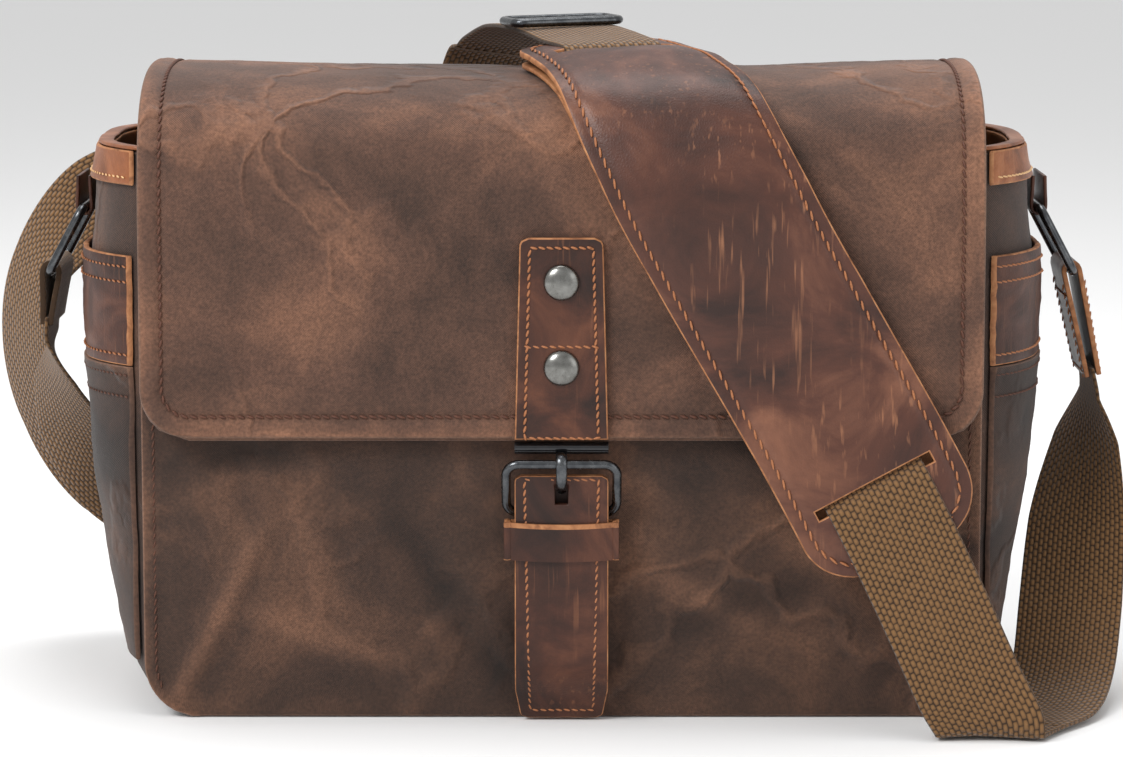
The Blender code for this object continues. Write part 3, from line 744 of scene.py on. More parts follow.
@dataclass(frozen=True)
class WebbingFinish:
    """Heavy cotton webbing: staggered fat yarns along its own length, with painted shade darkening the
    gaps between yarns.
    """

    name: str
    dark: Colour
    light: Colour
    rib: float = 0.0018
    pick: float = 0.0028

    def build(self) -> Material:
        """Writes the material's nodes."""
        material, shader = new_material(self.name)
        tree = material.node_tree
        nodes, links = tree.nodes, tree.links
        cloth = nodes.new("ShaderNodeUVMap")
        cloth.label = "Along the webbing"
        cloth.uv_map = "Cloth"
        split = nodes.new("ShaderNodeSeparateXYZ")
        split.label = "Across and along"
        ribs = nodes.new("ShaderNodeMath")
        ribs.label = "Yarn number"
        ribs.operation = "DIVIDE"
        which = nodes.new("ShaderNodeMath")
        which.label = "Whole yarns"
        which.operation = "FLOOR"
        shift = nodes.new("ShaderNodeMath")
        shift.label = "Half a step each yarn"
        shift.operation = "MULTIPLY"
        picks = nodes.new("ShaderNodeMath")
        picks.label = "Picks along"
        picks.operation = "DIVIDE"
        staggered = nodes.new("ShaderNodeMath")
        staggered.label = "Staggered picks"
        staggered.operation = "ADD"
        bumps = []
        rounded = []
        for source, word in ((ribs, "across"), (staggered, "along")):
            turn = nodes.new("ShaderNodeMath")
            turn.label = "Half turns " + word
            turn.operation = "MULTIPLY"
            turn.inputs[1].default_value = math.pi
            links.new(source.outputs[0], turn.inputs[0])
            sine = nodes.new("ShaderNodeMath")
            sine.label = "Round yarn " + word
            sine.operation = "SINE"
            links.new(turn.outputs[0], sine.inputs[0])
            fold = nodes.new("ShaderNodeMath")
            fold.label = "Always outwards " + word
            fold.operation = "ABSOLUTE"
            links.new(sine.outputs[0], fold.inputs[0])
            bumps.append(fold)
            rounded += [turn, sine, fold]
        yarn = nodes.new("ShaderNodeMath")
        yarn.label = "Yarn height"
        yarn.operation = "MULTIPLY"
        place = nodes.new("ShaderNodeTexCoord")
        place.label = "Where on the strap"
        fuzz = nodes.new("ShaderNodeTexNoise")
        fuzz.label = "Cotton fuzz and fading"
        tone = nodes.new("ShaderNodeMapRange")
        tone.label = "Fuzz as a change of tone"
        shade = nodes.new("ShaderNodeMath")
        shade.label = "Yarn tone with painted gap shade"
        shade.operation = "ADD"
        # Painted shade: low yarn height darkens the colour in the gaps between yarns; the fuzz adds real
        # changes of tone.
        ramp = nodes.new("ShaderNodeValToRGB")
        ramp.label = "Painted shade in gaps to yarn colour"
        middle = tuple((a + 2 * b) / 3 for a, b in zip(self.dark, self.light))
        set_ramp(ramp, ((0.05, self.dark), (0.35, middle), (0.9, self.light)))
        bump = nodes.new("ShaderNodeBump")
        bump.label = "Thick weave"
        arrange(tree, {
            "Weave": [cloth, split, ribs, which, shift, picks, staggered, *rounded, yarn],
            "Colour": [place, fuzz, tone, shade, ramp],
            "Relief": [bump],
        })
        for node, entry, value in (
                (ribs, 1, self.rib), (shift, 1, 0.5), (picks, 1, self.pick),
                (fuzz, "Scale", 420.0), (fuzz, "Detail", 5.0), (tone, "To Min", -0.25),
                (tone, "To Max", 0.25), (bump, "Strength", 0.9), (bump, "Distance", 0.0006),
                (shader, "Roughness", 0.85), (shader, "Sheen Weight", 0.2),
                (shader, "Specular IOR Level", 0.25)):
            node.inputs[entry].default_value = value
        links.new(cloth.outputs["UV"], split.inputs[0])
        links.new(split.outputs["X"], ribs.inputs[0])
        links.new(ribs.outputs[0], which.inputs[0])
        links.new(which.outputs[0], shift.inputs[0])
        links.new(split.outputs["Y"], picks.inputs[0])
        links.new(picks.outputs[0], staggered.inputs[0])
        links.new(shift.outputs[0], staggered.inputs[1])
        links.new(bumps[0].outputs[0], yarn.inputs[0])
        links.new(bumps[1].outputs[0], yarn.inputs[1])
        links.new(place.outputs["Object"], fuzz.inputs["Vector"])
        links.new(fuzz.outputs["Fac"], tone.inputs["Value"])
        links.new(yarn.outputs[0], shade.inputs[0])
        links.new(tone.outputs["Result"], shade.inputs[1])
        links.new(shade.outputs[0], ramp.inputs["Fac"])
        links.new(ramp.outputs["Color"], shader.inputs["Base Color"])
        links.new(shade.outputs[0], bump.inputs["Height"])
        links.new(bump.outputs["Normal"], shader.inputs["Normal"])
        return material


@dataclass(frozen=True)
class PlainFinish:
    """Metal, thread or black gloss: one colour with fine changes of tone and gloss."""

    name: str
    colour: Colour
    worn: Colour
    roughness: float
    metallic: float = 0.0
    grain: float = 260.0
    depth: float = 0.00004
    coat: float = 0.0

    def build(self) -> Material:
        """Writes the material's nodes."""
        material, shader = new_material(self.name)
        tree = material.node_tree
        nodes, links = tree.nodes, tree.links
        place = nodes.new("ShaderNodeTexCoord")
        place.label = "Where on the piece"
        clouds = nodes.new("ShaderNodeTexNoise")
        clouds.label = "Tarnish and handling"
        ramp = nodes.new("ShaderNodeValToRGB")
        ramp.label = "Fresh to worn"
        set_ramp(ramp, ((0.38, self.colour), (0.72, self.worn)))
        gloss = nodes.new("ShaderNodeMapRange")
        gloss.label = "Worn places are duller"
        bump = nodes.new("ShaderNodeBump")
        bump.label = "Small dents"
        arrange(tree, {"Colour": [place, clouds, ramp], "Surface": [gloss, bump]})
        for node, entry, value in (
                (clouds, "Scale", self.grain), (clouds, "Detail", 6.0),
                (clouds, "Roughness", 0.65), (gloss, "To Min", max(0.05, self.roughness - 0.08)),
                (gloss, "To Max", self.roughness + 0.12), (bump, "Strength", 0.4),
                (bump, "Distance", self.depth), (shader, "Metallic", self.metallic),
                (shader, "Coat Weight", self.coat)):
            node.inputs[entry].default_value = value
        links.new(place.outputs["Object"], clouds.inputs["Vector"])
        links.new(clouds.outputs["Fac"], ramp.inputs["Fac"])
        links.new(ramp.outputs["Color"], shader.inputs["Base Color"])
        links.new(clouds.outputs["Fac"], gloss.inputs["Value"])
        links.new(gloss.outputs["Result"], shader.inputs["Roughness"])
        links.new(clouds.outputs["Fac"], bump.inputs["Height"])
        links.new(bump.outputs["Normal"], shader.inputs["Normal"])
        return material


class Finishes:
    """Every finish on the bag, and the sets of three that its sheets wear."""

    def __init__(self) -> None:
        """Builds them all."""
        self.canvas = ClothFinish("waxed canvas", (0.026, 0.0125, 0.0077), (0.088, 0.042, 0.0265),
                                  (0.24, 0.112, 0.064)).build()
        # Painted shade: the panels, gussets, base and pockets wear a darker copy of the flap's canvas, for
        # the shade the body sits in below the flap.
        self.shaded_body_canvas = ClothFinish("waxed canvas, painted shade", (0.014, 0.0068, 0.0043),
                                       (0.046, 0.0225, 0.014), (0.135, 0.064, 0.037),
                                       fold_scale=13.0).build()
        self.canvas_edge = ClothFinish("rubbed canvas edge", (0.046, 0.023, 0.015),
                                       (0.105, 0.053, 0.033), (0.19, 0.098, 0.06),
                                       folds=0.0).build()
        self.lining = ClothFinish("black lining", (0.006, 0.006, 0.006), (0.012, 0.012, 0.012),
                                  (0.022, 0.021, 0.02), 0.85, sheen=0.05, folds=0.3).build()
        self.padding = ClothFinish("loop cloth", (0.03, 0.029, 0.028), (0.05, 0.047, 0.044),
                                   (0.075, 0.07, 0.066), 0.9, thread=0.0011,
                                   patch=60.0, sheen=0.5, folds=0.0).build()
        self.leather = LeatherFinish("dark brown leather", (0.017, 0.0052, 0.0027),
                                     (0.05, 0.0145, 0.0068), (0.11, 0.036, 0.0165),
                                     (0.22, 0.085, 0.038), scratches=0.4, cloud=30.0).build()
        self.pad = LeatherFinish("pull-up leather", (0.024, 0.0088, 0.006),
                                 (0.072, 0.024, 0.014), (0.19, 0.076, 0.042),
                                 (0.34, 0.145, 0.07), 0.42, 0.6, 17.0).build()
        self.raw_edge = LeatherFinish("raw leather edge", (0.17, 0.065, 0.026),
                                      (0.34, 0.14, 0.056), (0.46, 0.22, 0.095),
                                      (0.5, 0.26, 0.13), 0.65, 0.2, 120.0).build()
        self.tan = LeatherFinish("tan binding", (0.13, 0.04, 0.013), (0.24, 0.076, 0.024),
                                 (0.35, 0.13, 0.048), (0.45, 0.22, 0.1), 0.42, 0.3, 40.0).build()
        self.webbing = WebbingFinish("khaki cotton webbing", (0.034, 0.0165, 0.0062),
                                     (0.205, 0.105, 0.04)).build()
        self.gunmetal = PlainFinish("gunmetal", (0.06, 0.064, 0.07), (0.13, 0.135, 0.14),
                                    0.24, 1.0).build()
        self.nickel = PlainFinish("antique nickel", (0.23, 0.228, 0.215), (0.13, 0.127, 0.118),
                                  0.24, 1.0, 420.0).build()
        self.black = PlainFinish("black gloss", (0.01, 0.01, 0.012), (0.025, 0.025, 0.028),
                                 0.16, 0.6, 200.0, coat=0.5).build()
        self.canvas_thread = PlainFinish("dark rust thread", (0.06, 0.017, 0.0075),
                                         (0.12, 0.04, 0.017), 0.6, 0.0, 1500.0, 0.0001).build()
        self.leather_thread = PlainFinish("orange thread", (0.28, 0.096, 0.032),
                                          (0.42, 0.165, 0.064), 0.55, 0.0, 1500.0, 0.0001).build()
        self.pale_thread = PlainFinish("pale thread", (0.62, 0.36, 0.16), (0.78, 0.52, 0.28),
                                       0.55, 0.0, 1500.0, 0.0001).build()
        # The body's set wears the painted-shade canvas on its outer face.
        self.shaded_body_skin: Skin = (self.shaded_body_canvas, self.lining, self.canvas_edge)
        self.flap_skin: Skin = (self.canvas, self.canvas, self.canvas_edge)
        self.tan_skin: Skin = (self.tan, self.tan, self.raw_edge)
        self.leather_skin: Skin = (self.leather, self.leather, self.raw_edge)


# ---- stitches ------------------------------------------------------------------------------
class Seamstress:
    """Sews rows of stitches along paths with one Geometry Nodes tree."""

    def __init__(self) -> None:
        """Builds the tree once."""
        self.tree = self.write_tree()

    @staticmethod
    def write_tree() -> bpy.types.GeometryNodeTree:
        """The stitch tree: a path in, short slanted threads along it out."""
        tree = bpy.data.node_groups.new("stitches along a path", "GeometryNodeTree")
        face = tree.interface
        face.new_socket("Geometry", in_out="INPUT", socket_type="NodeSocketGeometry")
        for name, value in (("Pitch", 0.003), ("Length", 0.0024), ("Thickness", 0.0003),
                            ("Slant", 0.3)):
            socket = face.new_socket(name, in_out="INPUT", socket_type="NodeSocketFloat")
            socket.default_value = value
        face.new_socket("Thread", in_out="INPUT", socket_type="NodeSocketMaterial")
        face.new_socket("Geometry", in_out="OUTPUT", socket_type="NodeSocketGeometry")
        nodes, links = tree.nodes, tree.links
        given = nodes.new("NodeGroupInput")
        given.label = "Path and sizes"
        path = nodes.new("GeometryNodeMeshToCurve")
        path.label = "Seam line"
        places = nodes.new("GeometryNodeCurveToPoints")
        places.label = "One place per stitch"
        places.mode = "LENGTH"
        bead = nodes.new("GeometryNodeMeshUVSphere")
        bead.label = "Thread between two holes"
        half = nodes.new("ShaderNodeMath")
        half.label = "Half the stitch"
        half.operation = "MULTIPLY"
        size = nodes.new("ShaderNodeCombineXYZ")
        size.label = "Stitch size"
        turn = nodes.new("FunctionNodeAlignRotationToVector")
        turn.label = "Along the seam"
        turn.axis = "Z"
        slant = nodes.new("FunctionNodeAxisAngleToRotation")
        slant.label = "Slight slant"
        pose = nodes.new("FunctionNodeRotateRotation")
        pose.label = "Seam and slant"
        pose.rotation_space = "LOCAL"
        sew = nodes.new("GeometryNodeInstanceOnPoints")
        sew.label = "Sew"
        real = nodes.new("GeometryNodeRealizeInstances")
        real.label = "Plain mesh"
        smooth = nodes.new("GeometryNodeSetShadeSmooth")
        smooth.label = "Round thread"
        colour = nodes.new("GeometryNodeSetMaterial")
        colour.label = "Thread colour"
        result = nodes.new("NodeGroupOutput")
        result.label = "Stitches"
        arrange(tree, {
            "Seam": [given, path, places],
            "One stitch": [bead, half, size, turn, slant, pose],
            "Sewn": [sew, real, smooth, colour, result],
        })
        for node, entry, value in (
                (bead, "Segments", 6), (bead, "Rings", 5), (bead, "Radius", 1.0), (half, 1, 0.5),
                (slant, "Axis", (0, 1, 0))):
            node.inputs[entry].default_value = value
        links.new(given.outputs["Geometry"], path.inputs["Mesh"])
        links.new(path.outputs["Curve"], places.inputs["Curve"])
        links.new(given.outputs["Pitch"], places.inputs["Length"])
        links.new(given.outputs["Length"], half.inputs[0])
        links.new(given.outputs["Thickness"], size.inputs["X"])
        links.new(given.outputs["Thickness"], size.inputs["Y"])
        links.new(half.outputs[0], size.inputs["Z"])
        links.new(places.outputs["Tangent"], turn.inputs["Vector"])
        links.new(given.outputs["Slant"], slant.inputs["Angle"])
        links.new(turn.outputs["Rotation"], pose.inputs["Rotation"])
        links.new(slant.outputs["Rotation"], pose.inputs["Rotate By"])
        links.new(places.outputs["Points"], sew.inputs["Points"])
        links.new(bead.outputs["Mesh"], sew.inputs["Instance"])
        links.new(pose.outputs["Rotation"], sew.inputs["Rotation"])
        links.new(size.outputs["Vector"], sew.inputs["Scale"])
        links.new(sew.outputs["Instances"], real.inputs["Geometry"])
        links.new(real.outputs["Geometry"], smooth.inputs["Geometry"])
        links.new(smooth.outputs["Geometry"], colour.inputs["Geometry"])
        links.new(given.outputs["Thread"], colour.inputs["Material"])
        links.new(colour.outputs["Geometry"], result.inputs["Geometry"])
        return tree

    def sew(self, name: str, paths: Sequence[Sequence[Vector]], thread: Material,
            body: str, slot: str, pitch: float = 0.003,
            thickness: float = 0.00036) -> Piece:
        """Sews stitches along paths and puts them on a body.

        Args:
            name: the piece's name.
            paths: each seam's points.
            thread: the thread's finish.
            body: the body that it moves with.
            slot: passed on to settle, which does not use it.
            pitch: from one stitch to the next.
            thickness: half the thread's thickness.

        Returns:
            The stitches as a plain mesh.
        """
        verts: list[Vector] = []
        edges: list[tuple[int, int]] = []
        for path in paths:
            start = len(verts)
            verts += path
            edges += [(i, i + 1) for i in range(start, len(verts) - 1)]
        mesh = bpy.data.meshes.new(name + "_path")
        mesh.from_pydata([tuple(v) for v in verts], edges, [])
        guide = bpy.data.objects.new(name + "_path", mesh)
        bpy.context.scene.collection.objects.link(guide)
        live = guide.modifiers.new("stitches", "NODES")
        live.node_group = self.tree
        chosen = {"Pitch": pitch, "Length": pitch * 0.96, "Thickness": thickness,
                  "Thread": thread}
        for item in self.tree.interface.items_tree:
            if item.in_out == "INPUT" and item.name in chosen:
                live[item.identifier] = chosen[item.name]
        depsgraph = bpy.context.evaluated_depsgraph_get()
        plain = bpy.data.meshes.new_from_object(guide.evaluated_get(depsgraph))
        guide.modifiers.remove(live)
        bpy.data.objects.remove(guide)
        plain.name = name
        piece = bpy.data.objects.new(name, plain)
        bpy.context.scene.collection.objects.link(piece)
        return settle(piece, body, slot)


def outline_path(at: Callable[[float, float], Vector], half_top: float, half_end: float,
                 start: float, end: float, inset: float, radius: float,
                 closed: bool = True, step: float = 0.003) -> list[Vector]:
    """A seam line inside the edge of a strip.

    Args:
        at: the place of (x across, s along).
        half_top: half the strip's width at its start.
        half_end: half its width at its end.
        start: where the strip starts.
        end: where it ends.
        inset: how far inside the edge the seam is.
        radius: the corners' radius at the strip's edge.
        closed: whether the seam also crosses the start.
        step: the distance between points.

    Returns:
        The seam's points.
    """
    inner = max(0.001, radius - inset)
    low, high = start + inset, end - inset
    corners = []

    def arc(cx: float, cy: float, first: float) -> None:
        """Adds the corners of a quarter circle, from an angle in degrees."""
        for k in range(7):
            a = math.radians(first + 15 * k)
            corners.append((cx + inner * math.cos(a), cy + inner * math.sin(a)))

    top, foot = half_top - inset - inner, half_end - inset - inner
    if closed:
        arc(top, low + inner, -90)
    else:
        corners.append((top + inner, start))
    arc(foot, high - inner, 0)
    arc(-foot, high - inner, 90)
    if closed:
        arc(-top, low + inner, 180)
        corners.append(corners[0])
    else:
        corners.append((-top - inner, start))
    points = []
    for (xa, ya), (xb, yb) in zip(corners, corners[1:]):
        count = max(1, round(math.hypot(xb - xa, yb - ya) / step))
        for k in range(count):
            points.append(at(xa + (xb - xa) * k / count, ya + (yb - ya) * k / count))
    points.append(at(*corners[-1]))
    return points


# ---- body ----------------------------------------------------------------------------------
@dataclass
class BagShell:
    """Canvas base, panels and gussets, with side pockets, bands and bindings."""

    finishes: Finishes
    seams: Seamstress
    canvas: float = 0.0022
    corner: float = 0.02
    bulge: float = 0.0068
    trim: float = 0.0016
    seam_room: float = 0.0006
    corner_share: float = 0.15
    binding_low: float = 0.1905
    pocket_inset: float = 0.012
    pocket_span: tuple[float, float] = (0.02, 0.1258)
    band_span: tuple[float, float] = (0.1262, 0.1655)
    half_width: float = field(init=False)
    half_depth: float = field(init=False)
    rim: float = field(init=False)

    HALF_FRONT = 0.149
    GUSSET = ((0.0, 0.0), (0.015, 0.008), (0.046, 0.013), (0.082, 0.0195), (0.12, 0.0225),
              (0.165, 0.0225), (0.19, 0.0205), (0.2021, 0.0175))
    CREASES = (((-0.104, 0.072), (-0.14, 0.002), 0.004, 0.0034),
               ((-0.112, 0.04), (-0.06, 0.02), 0.006, 0.0012),
               ((-0.06, 0.075), (-0.02, 0.012), 0.008, -0.0014),
               ((0.02, 0.06), (0.075, 0.03), 0.007, 0.0016),
               ((0.03, 0.03), (0.11, 0.055), 0.008, -0.0013),
               ((0.06, 0.085), (0.14, 0.02), 0.009, 0.0014),
               ((0.11, 0.02), (0.142, 0.07), 0.005, 0.0013),
               ((-0.145, 0.09), (-0.09, 0.1), 0.008, -0.0012))

    def __post_init__(self) -> None:
        """Reads the shell's size from the frame."""
        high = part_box("back_panel")[1]
        self.half_width, self.half_depth = high[0], high[1]
        self.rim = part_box("gusset_right")[1][2] - 0.0001

    def half_at(self, z: float) -> float:
        """Half a panel's width at height z."""
        return self.half_width - end_rounding(z, self.corner)

    def crumple(self, x: float, z: float) -> float:
        """How far the front's creases lift it at a point."""
        total = 0.0007 * soft_noise((x, 0.0, z), 24.0, 3.0)
        total += 0.0006 * soft_noise((x, z, 0.3), 62.0, 9.0)
        for start, end, width, height in self.CREASES:
            total += height * ridge(x, z, start, end, width)
        return total

    def front(self, x: float, z: float, height: float) -> Vector:
        """A point on the front panel, at a height off its middle surface."""
        crown = math.sin(math.pi * min(1.0, max(z, 0.0) / 0.206)) ** 0.6 if z > 0 else 0.0
        across = 1.0 - min(1.0, abs(x) / self.half_width) ** 4
        y = -(self.half_depth - self.canvas / 2) - self.bulge * crown * across
        return Vector((x, y - height, z))

    def gusset(self, side: Side, u: float, z: float, height: float) -> Vector:
        """A point on a gusset at depth share u and height z."""
        reach = self.half_depth - self.canvas - self.seam_room
        edge = self.half_width - self.canvas / 2 - end_rounding(z, self.corner)
        bulge = between(self.GUSSET, z) * (1 - abs(2 * u - 1) ** 3)
        sag = 0.0011 * soft_noise((side.value, u * 0.12, z), 30.0, 5.0)
        sag *= 1 - abs(2 * u - 1) ** 4
        return Vector((side.value * (edge + bulge + sag + height), (2 * u - 1) * reach, z))

    def build(self) -> None:
        """Makes all of the shell."""
        self.make_panels()
        for side in Side:
            self.make_side(side)

    def make_panels(self) -> None:
        """The front and back panels, base and front binding."""
        f = self.finishes
        low, high = 0.0003, self.rim - 0.001

        def place(u: float, v: float) -> tuple[float, float]:
            """The panel's x and z at its shares across and up."""
            z = low + (high - low) * v
            return (2 * u - 1) * self.half_at(z), z

        def relief(u: float, v: float) -> float:
            """How far the front stands off its smooth shape there."""
            x, z = place(u, v)
            calm = min(1.0, (1 - abs(2 * u - 1)) * 18) * min(1.0, v * 22)
            under_strap = 1 - 0.75 * math.exp(-((x / 0.02) ** 4)) * (1.0 if z < 0.1 else 0.3)
            lift = self.crumple(x, z) * calm * under_strap
            limit = 0.0022 if z < 0.1 else 0.0004
            roll = 0.0008 * bell((1 - abs(2 * u - 1)) * self.HALF_FRONT, 0.004)
            return min(lift, limit) + roll

        def wear(u: float, v: float) -> float:
            """How rubbed the front is there, with painted shade along its sunk creases."""
            x, z = place(u, v)
            value = 0.46 + 0.16 * soft_noise((x, z, 0.1), 15.0, 4.0)
            for start, end, width, height in self.CREASES:
                share = ridge(x, z, start, end, width * 0.8)
                # Raised creases are rubbed lighter (real wear); sunk creases are darkened as painted
                # shade.
                value += share * (0.24 if height > 0.001 else -0.16)
            value += 0.22 * bell((1 - abs(2 * u - 1)) * self.HALF_FRONT, 0.003)
            return value + 0.1 * bell(z, 0.01)

        front = Shell("front_panel_cloth", lambda u, v, h: self.front(*place(u, v), h),
                      (0.298, high), spread(150), spread(100), -self.canvas / 2,
                      self.canvas / 2, 0.0006, relief=relief, wear=wear)
        front.build(f.shaded_body_skin, "root", "canvas", "front_panel")

        def back(u: float, v: float, height: float) -> Vector:
            """A point on the back panel."""
            x, z = place(u, v)
            return Vector((x, self.half_depth - self.canvas / 2 + height, z))

        def back_wear(u: float, v: float) -> float:
            """How rubbed the back is there."""
            x, z = place(u, v)
            return 0.44 + 0.2 * soft_noise((x, 1.0, z), 14.0, 8.0)

        panel = Shell("back_panel_cloth", back, (0.298, high), spread(60), spread(50),
                      -self.canvas / 2, self.canvas / 2, 0.0006, wear=back_wear)
        panel.build(f.shaded_body_skin, "root", "canvas", "back_panel")

        box_low, box_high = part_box("base_panel")

        def base(u: float, v: float, height: float) -> Vector:
            """A point on the base, heights being downwards."""
            x = box_low[0] + (box_high[0] - box_low[0]) * u
            y = box_low[1] + (box_high[1] - box_low[1]) * v
            return Vector((x, y, 0.0011 - height))

        foot = Shell("base_panel_cloth", base, (0.257, 0.125), spread(40), spread(20),
                     -self.canvas / 2, self.canvas / 2 - 0.0001, 0.0003)
        foot.build(f.shaded_body_skin, "root", "canvas", "base_panel")

        lift = self.canvas / 2 + GAP + 0.0005
        bind = Shell("rim_binding_front_leather", lambda u, v, h: self.front(
            (2 * u - 1) * 0.144, self.rim - 0.0015 - 0.012 * v, lift + h),
            (0.288, 0.012), spread(60), spread(5), 0, self.trim)
        bind.build(f.tan_skin, "root", "tan_leather", "rim_binding_front")

        hem = [self.front(0.14 - 0.28 * k / 90, self.rim - 0.011, lift + self.trim)
               for k in range(91)]
        self.seams.sew("rim_front_stitches", [hem], f.pale_thread, "root", "tan_leather")
        edge = []
        for side in (-1, 1):
            edge.append([self.front(side * (self.half_at(0.012 + 0.18 * k / 60) - 0.0042),
                                    0.012 + 0.18 * k / 60, self.canvas / 2 + 0.0003)
                         for k in range(61)])
        self.seams.sew("front_edge_stitches", edge, f.canvas_thread, "root", "canvas")

    def make_side(self, side: Side) -> None:
        """One gusset with its pocket, band and binding."""
        f = self.finishes
        radius = self.corner - self.canvas / 2

        def gusset(u: float, v: float, height: float) -> Vector:
            """Round the bottom corner for the first stretch, then straight up."""
            if v >= self.corner_share:
                share = (v - self.corner_share) / (1 - self.corner_share)
                z = self.corner + (self.rim - self.corner) * share
                return self.gusset(side, u, z, height)
            angle = math.radians(90 * v / self.corner_share)
            z = self.corner - (radius + height) * math.cos(angle)
            bulge = between(self.GUSSET, max(z, 0)) * (1 - abs(2 * u - 1) ** 3)
            x = self.half_width - self.corner + (radius + height) * math.sin(angle) + bulge
            reach = self.half_depth - self.canvas - self.seam_room
            return Vector((side.value * x, (2 * u - 1) * reach, max(z, 0.0001)))

        def wear(u: float, v: float) -> float:
            """How rubbed the gusset is there."""
            spot = Vector((side.value, u * 0.13, v * 0.2))
            return 0.44 + 0.2 * soft_noise(spot, 22.0, 2.0)

        wall = Shell(f"gusset_{side.word}_cloth", gusset, (0.125, 0.21), spread(40), spread(70),
                     -self.canvas / 2, self.canvas / 2, 0.0005, wear=wear)
        wall.build(f.shaded_body_skin, "root", "canvas",
               f"gusset_{side.word}")

        def band(low: float, high: float, inset: float, lift: float) -> Surface:
            """A strip on the gusset between two heights."""
            return lambda u, v, h: self.gusset(side, inset + (1 - 2 * inset) * u,
                                               low + (high - low) * v, lift + h)

        trim = self.canvas / 2 + GAP
        rim_low, rim_high = self.binding_low, self.rim + 0.0006
        bind = Shell(f"rim_binding_{side.word}_outer", band(rim_low, rim_high, 0.004, trim + 0.0006),
                     (0.12, 0.012), spread(40), spread(6), 0, self.trim, 0.0006)
        bind.build(f.tan_skin, "root", "tan_leather",
               f"rim_binding_{side.word}")
        inside = Shell(f"rim_binding_{side.word}_inner",
                       band(rim_low + 0.001, rim_high, 0.03, -trim - 0.0018),
                       (0.12, 0.012), spread(40), spread(6), 0, self.trim, 0.0006)
        inside.build(f.tan_skin, "root", "tan_leather")
        over = Shell(f"rim_binding_{side.word}_top",
                     lambda u, v, h: self.gusset(side, 0.004 + 0.992 * u, self.rim + 0.0008 + h,
                                                 (v - 0.5) * 2 * (trim + 0.0014)),
                     (0.12, 0.004), spread(40), spread(2), 0, 0.0014, 0.0006)
        over.build((f.tan, f.tan, f.tan), "root", "tan_leather")

        pocket = self.canvas / 2 + 0.0012
        cloth = Shell(f"pocket_{side.word}_cloth", band(*self.pocket_span, self.pocket_inset, pocket),
                      (0.115, 0.106), spread(40), spread(45), 0, 0.0018, 0.0004,
                      relief=lambda u, v: 0.0006 * soft_noise(
                          (u * 0.12, side.value, v * 0.1), 38.0, 7.0)
                      + 0.0007 * bell((1 - v) * 0.106, 0.004),
                      wear=lambda u, v: 0.44 + 0.2 * soft_noise(
                          (u * 0.12, side.value, v * 0.1), 20.0, 11.0)
                      + 0.2 * bell((1 - v) * 0.106, 0.002),
                      both_sides=False)
        cloth.build(f.shaded_body_skin, "root", "canvas",
               f"pocket_{side.word}")
        strip = Shell(f"pocket_band_{side.word}_leather", band(*self.band_span, self.pocket_inset, pocket),
                      (0.115, 0.04), spread(40), spread(14), 0, 0.002, 0.0005,
                      relief=lambda u, v: 0.0005 * soft_noise(
                          (u * 0.12, side.value, v), 30.0, 13.0),
                      both_sides=False)
        strip.build(f.leather_skin, "root", "leather",
               f"pocket_band_{side.word}")

        def row(z: float, lift: float, inset: float = 0.02) -> list[Vector]:
            """A level seam round the gusset."""
            return [self.gusset(side, inset + (1 - 2 * inset) * k / 60, z, lift)
                    for k in range(61)]

        face = pocket + 0.0022
        self.seams.sew(f"band_stitches_{side.word}",
                       [row(0.1615, face), row(0.156, face), row(0.13, face)],
                       f.leather_thread, "root", "leather")
        self.seams.sew(f"pocket_stitches_{side.word}",
                       [row(0.1228, face), row(0.115, face - 0.0002)],
                       f.canvas_thread, "root", "canvas", pitch=0.0026)
        self.seams.sew(f"rim_stitches_{side.word}",
                       [row(0.1932, trim + 0.0006 + self.trim + 0.0001, 0.03)],
                       f.pale_thread, "root", "tan_leather")


